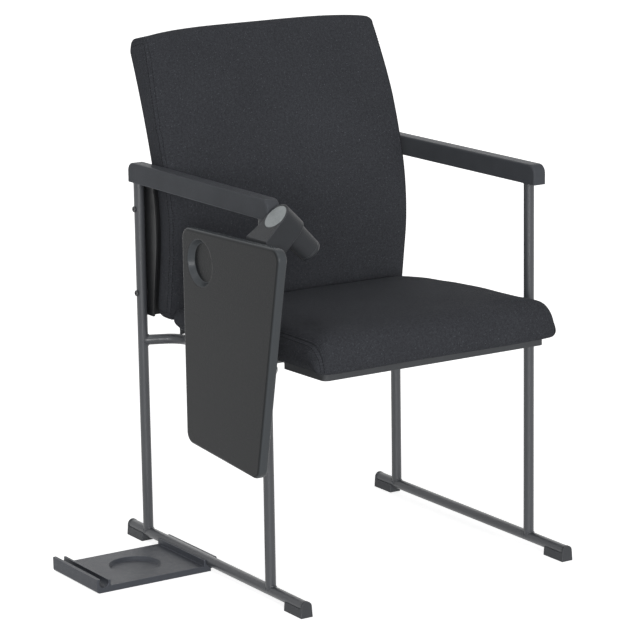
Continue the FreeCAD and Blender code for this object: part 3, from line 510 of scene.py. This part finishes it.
def swell(piece, held, limit):
    """Lets pressure fill the cover while the held points stay, and takes up the result within the limit."""
    mesh = piece.data
    start = np.empty(len(mesh.vertices) * 3, np.float32)
    mesh.vertices.foreach_get("co", start)
    group = piece.vertex_groups.new(name="held")
    group.add(held, 1.0, "REPLACE")
    cloth = piece.modifiers.new("Cloth", "CLOTH")
    rules = cloth.settings
    rules.quality = 6
    rules.mass = 0.3
    rules.tension_stiffness = 18
    rules.compression_stiffness = 18
    rules.shear_stiffness = 8
    rules.bending_stiffness = 1.5
    rules.use_pressure = True
    rules.uniform_pressure_force = 4
    rules.vertex_group_mass = group.name
    rules.effector_weights.gravity = 0
    cloth.collision_settings.use_collision = False
    cloth.point_cache.frame_start = 1
    cloth.point_cache.frame_end = SWELL_FRAMES
    for number in range(1, SWELL_FRAMES + 1):
        bpy.context.scene.frame_set(number)
    grown = piece.evaluated_get(bpy.context.evaluated_depsgraph_get()).to_mesh()
    end = np.empty_like(start)
    grown.vertices.foreach_get("co", end)
    piece.modifiers.remove(cloth)
    bpy.context.scene.frame_set(1)
    piece.vertex_groups.remove(group)
    move = (end - start).reshape(-1, 3)
    size = np.linalg.norm(move, axis=1, keepdims=True)
    move *= limit * np.tanh(size / limit) / np.maximum(size, 1e-9)
    mesh.vertices.foreach_set("co", (start.reshape(-1, 3) + move).astype(np.float32).ravel())
    mesh.update()


def make_cushion(name, node, skin, held, settings):
    piece = new_piece(name, skin.verts, skin.faces, woven_cover(settings), "fabric")
    layer = piece.data.uv_layers.new(name="cover")
    for loop, spot in zip(layer.data, skin.cover_map):
        loop.uv = spot
    turn_faces_out(piece)
    swell(piece, held, settings.puff_limit)
    smoothing = piece.modifiers.new("Smooth cover", "SUBSURF")
    smoothing.levels = 1
    smoothing.render_levels = 1
    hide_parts(node)
    return piece


THREAD_RADIUS = 0.00042
THREAD_LIFT = 0.0001
THREAD_SIDES = 6
STITCH_SHARE = 0.92
# Place along a stitch, share of the thread's width and rise in thread radii.
STITCH_RINGS = (
    (-0.5, 0.25, -1.0), (-0.36, 0.8, -0.1), (-0.15, 1.0, 0.25),
    (0.15, 1.0, 0.25), (0.36, 0.8, -0.1), (0.5, 0.25, -1.0),
)


def stitch_shape(centre, along, up, long):
    """Points and faces of one stitch: a short thread that dips into the cover at both ends."""
    across = along.cross(up)
    verts = []
    for shift, width, rise in STITCH_RINGS:
        for turn in turns(THREAD_SIDES):
            ring = across * math.cos(turn) + up * math.sin(turn)
            spot = centre + along * shift * long
            verts.append(spot + ring * width * THREAD_RADIUS + up * rise * THREAD_RADIUS)
    faces = ring_faces(len(STITCH_RINGS), THREAD_SIDES)
    faces.append(list(range(THREAD_SIDES - 1, -1, -1)))
    faces.append(list(range(len(verts) - THREAD_SIDES, len(verts))))
    return verts, faces


def seam_stitches(cover, seam, settings):
    """Two rows of stitches on the cover, one along each side of a seam."""
    steps = np.array([0.0] + [(b - a).length for a, b in zip(seam, seam[1:])]).cumsum()
    points = np.array([tuple(p) for p in seam])
    count = int(steps[-1] / settings.stitch_pitch)
    look_ahead = 0.004

    def seam_at(where):
        return Vector([np.interp(where, steps, points[:, axis]) for axis in range(3)])

    stitches = []
    for side in (-1, 1):
        line = []
        for n in range(count + 1):
            where = n * steps[-1] / count
            spot = seam_at(where)
            along = (seam_at(where + look_ahead) - seam_at(where - look_ahead)).normalized()
            up = cover.find_nearest(spot)[1]
            aside = along.cross(up).normalized() * side * settings.stitch_offset
            line.append(cover.find_nearest(spot + aside)[:2])
        for (a, up_a), (b, up_b) in zip(line, line[1:]):
            up = (up_a + up_b).normalized()
            along = (b - a).normalized()
            up = (up - along * up.dot(along)).normalized()
            centre = (a + b) / 2 + up * THREAD_LIFT
            stitches.append(stitch_shape(centre, along, up, (b - a).length * STITCH_SHARE))
    return stitches


def stitch_rows(name, piece, seams, settings):
    """Stitches along the seams, each given by the numbers of the cover's points on it."""
    shown = piece.evaluated_get(bpy.context.evaluated_depsgraph_get())
    mesh = shown.to_mesh()
    corners = [v.co.copy() for v in mesh.vertices]
    cover = BVHTree.FromPolygons(corners, [tuple(p.vertices) for p in mesh.polygons])
    shown.to_mesh_clear()
    stitches = []
    for numbers in seams:
        seam = [piece.data.vertices[number].co.copy() for number in numbers]
        stitches += seam_stitches(cover, seam, settings)
    new_piece(name, *gathered(stitches), sewing_thread(settings), "fabric")


# Seat

SEAT_TILT = math.radians(1.2)
SEAT_HINGE = (front_leg_y, 0.374)
SEAT_HALF = (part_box("seat_cushion")[1].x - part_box("seat_cushion")[0].x) / 2
SEAT_FRONT = front_leg_y - 0.1174
SEAT_REAR = rear_leg_y - 0.0675
SEAT_BASE = 0.3986
WATERFALL_R = 0.038
WATERFALL_RISE = 0.0087
SEAT_FRONT_CROWN = 0.010
BROW_CROWN = 0.020
SEAT_REAR_HEIGHT = 0.034
SEAT_REAR_CROWN = 0.0035
SEAT_TUCK = 0.004
SEAT_RISE = 0.007
SEAT_SIDE_SWELL = 0.0085
SEAT_SIDE_TUCK = 0.008
SEAT_REAR_SWELL = 0.003
SEAT_EDGE_ROWS = [0.0, 0.0013, 0.0032, 0.006, 0.010, 0.016]


def tilted(x, y, z):
    """Place on the seat, which tilts about a line across the front legs."""
    hinge = at(0, *SEAT_HINGE)
    return hinge + Matrix.Rotation(-SEAT_TILT, 3, "X") @ (at(x, y, z) - hinge)


def ripple(x, s, scale, seed):
    """Gentle hollows and rises of a cover, from -1 to 1."""
    return noise.noise(Vector((x * scale, s * scale, seed)))


def seat_upper(share, crown):
    """Side profile from the front foot over the rounded front edge to the rear, as a function from 0 to 1."""
    radius = WATERFALL_R + (crown - BROW_CROWN) * share
    rise = WATERFALL_RISE + BROW_CROWN * share
    foot = Vector((SEAT_FRONT - SEAT_FRONT_CROWN * share, SEAT_BASE))
    centre = foot + Vector((radius, rise))
    sweep = math.radians(86)
    shoulder = centre + Vector((-math.cos(sweep), math.sin(sweep))) * radius
    rear = Vector((SEAT_REAR, SEAT_BASE + SEAT_REAR_HEIGHT + SEAT_REAR_CROWN * share))
    bend = rise + radius * sweep
    top = (rear - shoulder).length

    def point(share_along):
        s = share_along * (bend + top)
        if s < rise:
            return foot + Vector((SEAT_TUCK * (1 - s / rise) ** 2, s))
        if s < bend:
            turn = (s - rise) / radius
            return centre + Vector((-math.cos(turn), math.sin(turn))) * radius
        u = (s - bend) / top
        return shoulder.lerp(rear, u) + Vector((0, 4 * SEAT_RISE * u * (1 - u)))

    return point, bend + top


def seat_skin(settings):
    profile_length = seat_upper(0, settings.seat_crown)[1]
    front_rows, front_share = 13, 0.22
    top_rows, rear_shares = 22, (0.94, 0.965, 0.98, 0.99, 1.0)
    shares = [front_share * n / front_rows for n in range(front_rows)]
    shares += [front_share + (rear_shares[0] - front_share) * n / top_rows for n in range(top_rows)]
    along = [profile_length * share for share in (*shares, *rear_shares)]
    across = mirrored_rows([*SEAT_EDGE_ROWS, 0.024, 0.035, 0.05], 0.018, 2 * SEAT_HALF)
    down = [*SEAT_EDGE_ROWS, 0.023, 0.030, 0.036, 0.041, 0.045]
    edge = len(across) - 1
    floor = len(down) - 1

    def place(i, j, k):
        t = (across[j] - SEAT_HALF) / SEAT_HALF
        share = max(0.0, 1 - t ** 30) ** 0.5
        upper = seat_upper(share, settings.seat_crown)[0]
        s = along[i] / profile_length
        top = upper(s)
        foot = upper(0)
        base = Vector((foot.x + (SEAT_REAR - foot.x) * s, SEAT_BASE))
        f = down[k] / down[-1]
        spot = top.lerp(base, f)
        x = t * SEAT_HALF

        def fade_in(reach):
            """Share from 0 at the front foot to 1 at the reach along the cover from it."""
            return min(1.0, along[i] / reach)

        tucked = SEAT_SIDE_TUCK * fade_in(0.025)
        if j in (0, edge):
            side = 1 if j else -1
            full = SEAT_SIDE_SWELL * math.sin(math.pi * min(1.0, f * 1.15)) ** 0.8
            x += side * (fade_in(0.012) * full - tucked * max(0.0, (f - 0.7) / 0.3) ** 1.6)
            if k == 0:
                x -= side * settings.seam_depth * 0.7
                spot.y -= settings.seam_depth * 0.8 * fade_in(0.03)
        elif k == floor:
            x *= 1 - tucked / SEAT_HALF
        if k == 0 and 0 < j < edge:
            lift = ripple(x, spot.x, 9, 3.1) * 0.0016 + ripple(x, spot.x, 24, 7.7) * 0.0006
            wave = noise.noise(Vector((x * 45, 2.7, 0.4))) * 0.0012 * (1 - fade_in(0.014))
            spot.y += lift * share + wave
        if 0 < k < floor and i == len(along) - 1:
            spot.x += SEAT_REAR_SWELL * math.sin(math.pi * f)
        return tilted(x, spot.x, spot.y)

    return BlockSkin((along, across, down), place, True)


class CHAIR_OT_make_seat(bpy.types.Operator):
    """Sews the seat cushion: a crowned top that falls over the front, with a side panel at each end"""
    bl_idname = "chair.make_seat"
    bl_label = "Seat cushion"

    def execute(self, context):
        settings = context.scene.visitor_chair.upholstery
        skin = seat_skin(settings)
        ni, nj, nk = skin.last
        held = skin.on(lambda i, j, k: k == nk or i == ni or i == 0 or (j in (0, nj) and k == 0))
        seat = make_cushion("seat_cover", "seat_cushion", skin, held, settings)
        seams = [[skin.number[skin.key((i, j, 0))] for i in range(ni + 1)] for j in (0, nj)]
        stitch_rows("seat_stitches", seat, seams, settings)
        return {"FINISHED"}


# Back

BACK_LENGTH = 0.515
BACK_ARCH = 0.008
BACK_HALF = half_frame - 0.021
BACK_CORNER = 0.016
BACK_NARROWING = 0.0125
BACK_NARROW_START = 0.358
BACK_START = (rear_leg_y - 0.053, 0.404)
BACK_RIM = 0.0440
BACK_PRESSED_RIM = 0.0385
BACK_POCKET = 0.0260
SHELL_INSET = 0.0137
STRAP_TOP = 0.2525
STRAP_FADE = 0.016
BACK_SIDE_SWELL = 0.0020
BACK_LOWER_SWELL = 0.0015
BACK_REAR_ROUND = 0.012
BACK_END_DROP = 0.007
BACK_END_DROP_REACH = 0.014
BACK_END_CROWN = 0.001
BACK_END_CROWN_REACH = 0.034
BACK_EDGE_ROWS = [0.0, 0.0012, 0.003, 0.006, 0.010, 0.016]
BACK_STRAIGHT = 0.100
BACK_FIRST_LEAN = -8.3
# Radius of each bend above the straight, and the lean in degrees where it ends.
BACK_BENDS = ((0.400, 15.0), (1.600, None))


def back_profile(s):
    """Depth, height and lean of the back's side profile at a length from its lower edge."""
    y, z = BACK_START
    lean = math.radians(BACK_FIRST_LEAN)
    straight = min(s, BACK_STRAIGHT)
    y += straight * math.sin(lean)
    z += straight * math.cos(lean)
    s -= straight
    for radius, end in BACK_BENDS:
        turn = s / radius if end is None else min(s / radius, math.radians(end) - lean)
        y += radius * (math.cos(lean) - math.cos(lean + turn))
        z += radius * (math.sin(lean + turn) - math.sin(lean))
        s -= turn * radius
        lean += turn
    return y, z, lean


def behind(s, depth, x):
    y, z, lean = back_profile(s)
    return at(x, y + depth * math.cos(lean), z - depth * math.sin(lean))


def rounding(distance, reach):
    """Share from 1 at an end to 0 at the reach from it, along a quarter circle."""
    inside = max(0.0, 1 - distance / reach)
    return 1 - math.sqrt(max(0.0, 1 - inside ** 2))


# Distance from an end of the back, and the row of depth, where a side seam turns rearwards.
SEAM_TURN = ((0.025, 0), (0.021, 0), (0.017, 1), (0.014, 2), (0.012, 3), (0.0105, 4))


def front_half(s):
    """Half the width between the side seams: they draw together towards the top."""
    share = max(0.0, (s - BACK_NARROW_START) / (BACK_LENGTH - BACK_NARROW_START))
    return BACK_HALF - BACK_NARROWING * share ** 1.25


def rim_depth(s):
    """Depth of the cushion's rear rim, which the brackets' straps press in."""
    free = min(1.0, max(0.0, (s - STRAP_TOP) / STRAP_FADE))
    return BACK_PRESSED_RIM + (BACK_RIM - BACK_PRESSED_RIM) * free * free * (3 - 2 * free)


def back_skin(settings):
    ends = [0.0, 0.0015, 0.004, 0.007, 0.009, 0.0105, 0.012, 0.014, 0.017, 0.021, 0.025, 0.030, 0.038, 0.050]
    along = mirrored_rows(ends, 0.016, BACK_LENGTH)
    sides = [*BACK_EDGE_ROWS, 0.024, 0.034, 0.046, 0.060]
    across = mirrored_rows(sides, 0.019, 2 * BACK_HALF)
    depth = [*BACK_EDGE_ROWS, 0.022, 0.029, 0.037, BACK_RIM]
    ni, nj, nk = len(along) - 1, len(across) - 1, len(depth) - 1
    seam = seam_places(along, nk)

    def arched(s, t, f):
        return s - BACK_ARCH * (1 - 0.4 * f) * t ** 4 * (s / BACK_LENGTH) ** 2

    def place(i, j, k):
        t = (across[j] - BACK_HALF) / BACK_HALF
        f = depth[k] / depth[-1]
        s = arched(along[i], t, f)
        end = min(along[i], BACK_LENGTH - along[i])
        corner = BACK_CORNER * rounding(end, BACK_CORNER) * (1 - 0.6 * f)
        deep = rim_depth(s) - BACK_REAR_ROUND * rounding(end, BACK_REAR_ROUND)
        if k == nk:
            return rear_place(i, j, t, BACK_HALF - corner, deep)
        drop = BACK_END_DROP * rounding(end, BACK_END_DROP_REACH)
        crown = settings.back_crown
        crown -= (crown - BACK_END_CROWN) * rounding(end, BACK_END_CROWN_REACH)
        face = drop - crown * max(0.0, 1 - t ** 10) ** 0.5
        half = front_half(s) + (BACK_HALF - front_half(s)) * f - corner
        x = t * half
        if j in (0, nj):
            side = 1 if j else -1
            x += side * BACK_SIDE_SWELL * math.sin(math.pi * f)
            if (i, k) in seam:
                x -= side * settings.seam_depth * 0.8
                if k == 0:
                    face += settings.seam_depth * 0.6
        elif k == 0:
            face += ripple(x, s, 8, 1.3) * 0.0013 + ripple(x, s, 22, 5.9) * 0.0005
        spot = behind(s, face + (deep - face) * f, x)
        if i == 0 and k > 0:
            spot.z -= BACK_LOWER_SWELL * math.sin(math.pi * f) * (1 - t ** 6)
        return spot

    def rear_place(i, j, t, half, deep):
        """The rear: a rim round the pocket of the shell, then the pocket's wall and floor."""
        inset = min(across[j], 2 * BACK_HALF - across[j])
        step = sides.index(inset) if inset in sides else len(sides)
        side = -1 if t < 0 else 1
        wall = BACK_HALF - SHELL_INSET
        rim_shares = (1.0, 0.8, 0.4, 0.0)
        rim_rows = len(rim_shares)
        if step < rim_rows:
            x = side * (wall + (half - wall) * rim_shares[step])
        else:
            x = side * min(abs(t * half), wall - 0.002 * (step - rim_rows + 1))
        row = min(i, ni - i)
        low_wall = SHELL_INSET
        high_wall = BACK_LENGTH - BACK_ARCH - SHELL_INSET
        if row < rim_rows:
            end_wall = low_wall if i == row else high_wall
            rim_end = 0.0 if i == row else arched(BACK_LENGTH, t, 1)
            s = end_wall + (rim_end - end_wall) * rim_shares[row]
        else:
            first = ends[rim_rows - 1]
            s = low_wall + (high_wall - low_wall) * (along[i] - first) / (BACK_LENGTH - 2 * first)
        if row >= rim_rows and step >= rim_rows:
            return behind(s, BACK_POCKET, x)
        return behind(s, min(deep, rim_depth(s)), x)

    return BlockSkin((along, across, depth), place, False)


def seam_places(along, nk):
    """Grid places (i, k) on a side seam, from its lower rear end up the front to its upper rear end."""
    last = len(along) - 1
    lower = [(along.index(end), k) for end, k in SEAM_TURN]
    front, (rear, depth) = lower[0][0], lower[-1]
    lower += [(rear, k) for k in range(depth + 1, nk)]
    upper = [(last - i, k) for i, k in lower]
    return lower[::-1] + [(i, 0) for i in range(front + 1, last - front)] + upper


class CHAIR_OT_make_back(bpy.types.Operator):
    """Sews the back cushion: a front panel that wraps over the top, with a side panel along each side"""
    bl_idname = "chair.make_back"
    bl_label = "Back cushion"

    def execute(self, context):
        settings = context.scene.visitor_chair.upholstery
        skin = back_skin(settings)
        nj, nk = skin.last[1:]
        seam = seam_places(skin.rows[0], nk)
        held = skin.on(lambda i, j, k: k == nk or (j in (0, nj) and (i, k) in seam))
        back = make_cushion("back_cover", "back_cushion", skin, held, settings)
        seams = [[skin.number[i, j, k] for i, k in seam] for j in (0, nj)]
        stitch_rows("back_stitches", back, seams, settings)
        return {"FINISHED"}


# Welds and screws

WELD_POINTS = 40
WELD_SIDES = 8


def weld_ring(centre, stem, main, stem_r=tube_r, main_r=tube_r):
    """Line of the joint where a stem tube meets a main tube square to it, or a flat if main_r is 0."""
    stem = stem.normalized()
    main = main.normalized()
    lateral = main.cross(stem)
    ring = []
    for turn in turns(WELD_POINTS):
        aside = stem_r * math.cos(turn)
        rise = math.sqrt(max(0.0, main_r ** 2 - aside ** 2))
        ring.append(centre + lateral * aside + main * stem_r * math.sin(turn) + stem * rise)
    return ring


def weld_bead(ring, size, seed):
    """Skin of a bead along a closed line, a little uneven as weld metal is."""
    verts = []
    count = len(ring)
    middle_point = sum(ring, Vector()) / count
    for n, spot in enumerate(ring):
        along = (ring[(n + 1) % count] - ring[n - 1]).normalized()
        out = spot - middle_point
        out = (out - along * out.dot(along)).normalized()
        up = along.cross(out)
        wave = 1 + 0.16 * math.sin(n * 2.1 + seed) + 0.12 * noise.noise(Vector((n * 0.7, seed, 0.3)))
        for turn in turns(WELD_SIDES):
            verts.append(spot + (out * math.cos(turn) + up * math.sin(turn)) * size * wave)
    return verts, ring_faces(count, WELD_SIDES, closed=True)


RAIL_Z = SEAT_HINGE[1]
RAIL_X = half_frame - 0.060
RAIL_FRONT_ANGLE = math.radians(52)
RAIL_REAR_ANGLE = math.radians(25)


def tube_joints():
    """Centre, stem direction and main direction of every weld, with radii where they are not a tube's."""
    up = Vector((0, 0, 1))
    runner_way = Vector((0, 1, 0))
    rear_rail_z = RAIL_Z - (rear_leg_y - front_leg_y) * math.tan(SEAT_TILT)
    joints = []
    for side in frame_sides:
        x = side * half_frame
        front = Vector((-side * math.cos(RAIL_FRONT_ANGLE), math.sin(RAIL_FRONT_ANGLE), 0))
        rear = Vector((-side * math.cos(RAIL_REAR_ANGLE), -math.sin(RAIL_REAR_ANGLE), 0))
        joints += [
            (at(x, front_leg_y, runner_z), up, runner_way),
            (at(x, rear_leg_y, runner_z), up, runner_way),
            (at(x, front_leg_y, RAIL_Z), front, up),
            (at(x, rear_leg_y, rear_rail_z), rear, up),
        ]
        for node in ("front_cross_tube", "rear_cross_tube"):
            spot = box_middle(node)
            spot.x = middle.x + side * RAIL_X
            joints.append((spot, Vector((-side, 0, 0)), runner_way))
    pivot, axis = Vector(tablet_pivot["pos_m"]), Vector(tablet_pivot["axis"])
    arm_z = box_middle("pivot_arm").z
    target = pivot + axis * ((arm_z - pivot.z) / axis.z)
    leg_spot = at(-half_frame, front_leg_y, arm_z)
    joints.append((leg_spot, target - leg_spot, up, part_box("pivot_arm")[1].z - arm_z))
    for side in frame_sides:
        for y in (front_leg_y, rear_leg_y):
            joints.append((at(side * half_frame, y, arm_bottom_z), up, runner_way, tube_r, 0))
    return joints


class CHAIR_OT_make_welds(bpy.types.Operator):
    """Runs a weld bead round every joint of the tube frame"""
    bl_idname = "chair.make_welds"
    bl_label = "Weld beads"

    def execute(self, context):
        settings = context.scene.visitor_chair.finish
        rings = [weld_ring(*joint) for joint in tube_joints()]
        beads = gathered(weld_bead(ring, settings.weld_size, seed) for seed, ring in enumerate(rings))
        new_piece("weld_beads", *beads, bpy.data.materials["powder_coat"], "frame_tube")
        return {"FINISHED"}


def loose_parts(node):
    """Point sets of the separate solids in one CAD node."""
    shape = bmesh.new()
    shape.from_mesh(frame["nodes"][node].data)
    bmesh.ops.remove_doubles(shape, verts=shape.verts, dist=1e-6)
    left = set(shape.verts)
    parts = []
    while left:
        stack = [left.pop()]
        found = []
        while stack:
            vert = stack.pop()
            found.append(vert.co.copy())
            for edge in vert.link_edges:
                other = edge.other_vert(vert)
                if other in left:
                    left.remove(other)
                    stack.append(other)
        parts.append(np.array([tuple(co) for co in found]))
    shape.free()
    return parts


def measured_screw(points):
    """Head centre, direction into the work, radii of head and shank, height of head, length of shank."""
    centre = points.mean(axis=0)
    axis = np.linalg.svd(points - centre)[2][0]
    run = (points - centre) @ axis
    ends = [np.array([p for p, r in zip(points, run) if abs(r - e) < 1e-4]) for e in (run.min(), run.max())]
    middles = [(e.min(axis=0) + e.max(axis=0)) / 2 for e in ends]
    radii = [np.linalg.norm(e - m, axis=1).max() for e, m in zip(ends, middles)]
    head, tip = (0, 1) if radii[0] > radii[1] else (1, 0)
    into = Vector(middles[tip] - middles[head]).normalized()
    depth = (points - middles[head]) @ np.array(into)
    from_axis = np.linalg.norm(points - middles[head] - np.outer(depth, np.array(into)), axis=1)
    head_height = depth[from_axis > (radii[head] + radii[tip]) / 2].max()
    return Vector(middles[head]), into, radii[head], radii[tip], head_height, depth.max() - head_height


def six_sided(turn):
    """Distance of a hexagon's side from its middle, as a share of its corners' distance."""
    sixth = math.pi / 6
    return math.cos(sixth) / math.cos((turn + sixth) % (math.pi / 3) - sixth)


def screw_shape(top, into, head_r, shank_r, head_h, shank):
    """Domed head with a six-sided socket, and a ridged shank with a pointed end."""
    segments = 24
    socket_r = head_r * 0.46
    socket_depth = head_h * 0.7
    socket_lip = 0.0002
    ridge_pitch = 0.0012
    # Radius, depth below the top of the head, and whether the ring is six-sided.
    profile = [(0.0, socket_depth, True), (socket_r, socket_depth, True)]
    profile += [(socket_r, socket_lip, True), (socket_r * 1.12, 0.0, False)]
    for n in range(5):
        turn = math.pi / 2 * n / 4
        profile.append((head_r * (0.7 + 0.3 * math.sin(turn)), head_h * 0.45 * (1 - math.cos(turn)), False))
    profile += [(head_r, head_h, False), (shank_r, head_h, False)]
    for n in range(int(shank * 0.8 / ridge_pitch)):
        start = head_h + shank * 0.1 + n * ridge_pitch
        profile += [(shank_r * 0.86, start, False), (shank_r, start + ridge_pitch / 2, False)]
    tip = head_h + shank
    profile += [(shank_r * 0.8, head_h + shank * 0.94, False), (shank_r * 0.3, tip, False), (0.0, tip, False)]
    a = into.orthogonal().normalized()
    b = into.cross(a)
    verts = []
    for radius, depth, six in profile:
        for turn in turns(segments):
            r = radius * six_sided(turn) if six else radius
            verts.append(top + into * depth + (a * math.cos(turn) + b * math.sin(turn)) * r)
    return verts, ring_faces(len(profile), segments)


class CHAIR_OT_make_screws(bpy.types.Operator):
    """Puts a socket screw in the place of every plain one"""
    bl_idname = "chair.make_screws"
    bl_label = "Screws"

    def execute(self, context):
        black = plated_steel("black_zinc", (0.075, 0.076, 0.08))
        bodies = frame["record"]["behaviour"]["bodies"]
        for node in ("arm_screws", "seat_screws", "leg_screws", "back_screws", "tablet_screws"):
            screws = gathered(screw_shape(*measured_screw(points)) for points in loose_parts(node))
            body = next(name for name, nodes in bodies.items() if node in nodes)
            piece = new_piece("socket_" + node, *screws, black, "dark_screws", body)
            turn_faces_out(piece, merge=1e-7)
            piece.data.set_sharp_from_angle(angle=math.radians(35))
            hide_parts(node)
        return {"FINISHED"}


# Finishes of the CAD nodes

class CHAIR_OT_coat_frame(bpy.types.Operator):
    """Powder coats the tubes, bars and brackets"""
    bl_idname = "chair.coat_frame"
    bl_label = "Frame coating"

    def execute(self, context):
        colours = context.scene.visitor_chair.finish
        wear_material("frame_tube", powder_coat("powder_coat", colours.powder_coat))
        # Painted shade: a near-black copy of the powder coat on the back brackets.
        black = powder_coat("shaded_bracket_coat", colours.shaded_bracket_colour)
        for node in ("left_back_bracket", "right_back_bracket"):
            frame["nodes"][node].data.materials[0] = black
        return {"FINISHED"}


class CHAIR_OT_finish_plastics(bpy.types.Operator):
    """Gives the feet, arms, seat pan, saddles, back shell, pivot and row link their moulded finish"""
    bl_idname = "chair.finish_plastics"
    bl_label = "Moulded pieces"

    def execute(self, context):
        colours = context.scene.visitor_chair.finish
        natural_white = (0.7, 0.68, 0.62)
        # Colour, roughness, size of the grain, specular level and radius of the softened edges.
        plastics = {
            "foot_plastic": (colours.foot_colour, 0.5, 0.0008),
            "arm_plastic": (colours.arm_colour, 0.36, 0.0007, 0.025, 0.0035),
            "pan_plastic": (colours.pan_colour, 0.5, 0.0009),
            "saddle_plastic": (colours.pan_colour, 0.55, 0.0008),
            "shell_plastic": (colours.shell_colour, 0.52, 0.0011),
            "pivot_plastic": (colours.pivot_colour, 0.33, 0.0006, 0.18, 0.0022),
            "link_plastic": (colours.link_colour, 0.45, 0.0007, 0.2),
            "bush_plastic": (natural_white, 0.35, 0.0005),
        }
        for slot, look in plastics.items():
            wear_material(slot, moulded(slot, *look))
        return {"FINISHED"}


class CHAIR_OT_finish_tablet(bpy.types.Operator):
    """Lacquers the tablet and turns the cover disc on its swivel head"""
    bl_idname = "chair.finish_tablet"
    bl_label = "Tablet and cover disc"

    def execute(self, context):
        colours = context.scene.visitor_chair.finish
        wear_material("tablet_board", lacquered_board(colours.tablet_colour))
        disc = satin_disc(colours.disc_colour, tuple(box_middle("cover_disc")), tuple(tablet_pivot["axis"]))
        wear_material("cover_metal", disc)
        return {"FINISHED"}


class CHAIR_OT_finish_inside(bpy.types.Operator):
    """Finishes the boards in the cushions and the steel pieces in the pivot"""
    bl_idname = "chair.finish_inside"
    bl_label = "Inner pieces"

    def execute(self, context):
        wear_material("plywood", plywood((0.62, 0.48, 0.32)))
        wear_material("pivot_steel", plated_steel("zinc", (0.55, 0.55, 0.56)))
        return {"FINISHED"}


# Stage

CAMERA_SPOT = (-2.7036, -4.1752, 1.5384)
CAMERA_TURN = math.radians(-32.472)
CAMERA_RISE = math.radians(12.8005)
CAMERA_ROLL = math.radians(-0.8709)
CAMERA_LENS = 166.605


def stand_camera():
    data = bpy.data.cameras.new("camera")
    data.sensor_width = 36
    data.lens = CAMERA_LENS
    data.clip_end = 200
    camera = new_object("camera", data)
    rise = Matrix.Rotation(math.pi / 2 - CAMERA_RISE, 4, "X")
    turn = Matrix.Rotation(CAMERA_TURN, 4, "Z") @ rise @ Matrix.Rotation(CAMERA_ROLL, 4, "Z")
    camera.matrix_world = Matrix.Translation(at(*CAMERA_SPOT)) @ turn
    bpy.context.scene.camera = camera


def lay_floor(settings):
    mesh = bpy.data.meshes.new("floor")
    size = 60
    below = -0.0003
    corners = [(x * size, y * size, below) for x, y in ((-1, -1), (1, -1), (1, 1), (-1, 1))]
    mesh.from_pydata(corners, [], [(0, 1, 2, 3)])
    floor = new_object("floor", mesh)
    f = Finish("floor", Specular_IOR_Level=0.0, Roughness=1.0)
    tone = settings.floor_tone
    f.shader.inputs["Base Color"].default_value = (tone, tone, tone, 1)
    f.shader.inputs["Emission Color"].default_value = (1, 1, 1, 1)
    glow = f.times(f.seen_ray(), settings.floor_glow)
    f.tree.links.new(glow, f.shader.inputs["Emission Strength"])
    mesh.materials.append(f.material)


def light_world(settings):
    world = bpy.data.worlds.new("studio")
    bpy.context.scene.world = world
    world.use_nodes = True
    world_nodes = Nodes(world.node_tree)
    background = world.node_tree.nodes["Background"]
    background.inputs["Color"].default_value = (1, 1, 1, 1)
    strength = world_nodes.spread(world_nodes.seen_ray(), settings.ambient, 1.0)
    world.node_tree.links.new(strength, background.inputs["Strength"])


def hang_lamp(name, towards, strength, angle):
    data = bpy.data.lights.new(name, "SUN")
    data.energy = strength
    data.angle = math.radians(angle)
    lamp = new_object(name, data)
    lamp.rotation_mode = "QUATERNION"
    lamp.rotation_quaternion = Vector(towards).to_track_quat("-Z", "Y")


class CHAIR_OT_set_stage(bpy.types.Operator):
    """Lays the floor, hangs the lamps and stands the camera"""
    bl_idname = "chair.set_stage"
    bl_label = "Stage"

    def execute(self, context):
        settings = context.scene.visitor_chair.stage
        context.scene.view_settings.view_transform = "Standard"
        lay_floor(settings)
        light_world(settings)
        hang_lamp("key_lamp", (0.53, 0.83, -0.14), settings.key_strength, 15)
        hang_lamp("front_lamp", (0.25, 0.95, -0.20), settings.front_strength, 20)
        hang_lamp("rear_lamp", (-0.45, -0.70, -0.50), settings.rear_strength, 60)
        hang_lamp("top_lamp", (0.30, 0.30, -0.90), settings.top_strength, 28)
        stand_camera()
        return {"FINISHED"}


PIECE_OPERATORS = (
    CHAIR_OT_coat_frame,
    CHAIR_OT_make_welds,
    CHAIR_OT_finish_plastics,
    CHAIR_OT_finish_tablet,
    CHAIR_OT_finish_inside,
    CHAIR_OT_make_screws,
    CHAIR_OT_make_seat,
    CHAIR_OT_make_back,
    CHAIR_OT_set_stage,
)


class CHAIR_PT_pieces(bpy.types.Panel):
    """Lists the chair's settings and what makes its pieces"""
    bl_idname = "CHAIR_PT_pieces"
    bl_label = "Visitor chair"
    bl_space_type = "VIEW_3D"
    bl_region_type = "UI"
    bl_category = "Chair"

    def draw(self, context):
        settings = context.scene.visitor_chair
        for group in (settings.upholstery, settings.finish, settings.stage):
            box = self.layout.box()
            for name in group.bl_rna.properties.keys():
                if name not in ("name", "rna_type"):
                    box.prop(group, name)
        for operator in PIECE_OPERATORS:
            self.layout.operator(operator.bl_idname)


SETTINGS = (UpholsterySettings, FinishSettings, StageSettings, ChairSettings)
CLASSES = (*SETTINGS, *PIECE_OPERATORS, CHAIR_PT_pieces)


def register():
    for item in CLASSES:
        bpy.utils.register_class(item)
    bpy.types.Scene.visitor_chair = PointerProperty(type=ChairSettings)


def unregister():
    del bpy.types.Scene.visitor_chair
    for item in reversed(CLASSES):
        bpy.utils.unregister_class(item)


def main():
    register()
    bpy.ops.chair.coat_frame()
    bpy.ops.chair.make_welds()
    bpy.ops.chair.finish_plastics()
    bpy.ops.chair.finish_tablet()
    bpy.ops.chair.finish_inside()
    bpy.ops.chair.make_screws()
    bpy.ops.chair.make_seat()
    bpy.ops.chair.make_back()
    bpy.ops.chair.set_stage()
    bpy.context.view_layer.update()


if __name__ == "__main__":
    main()
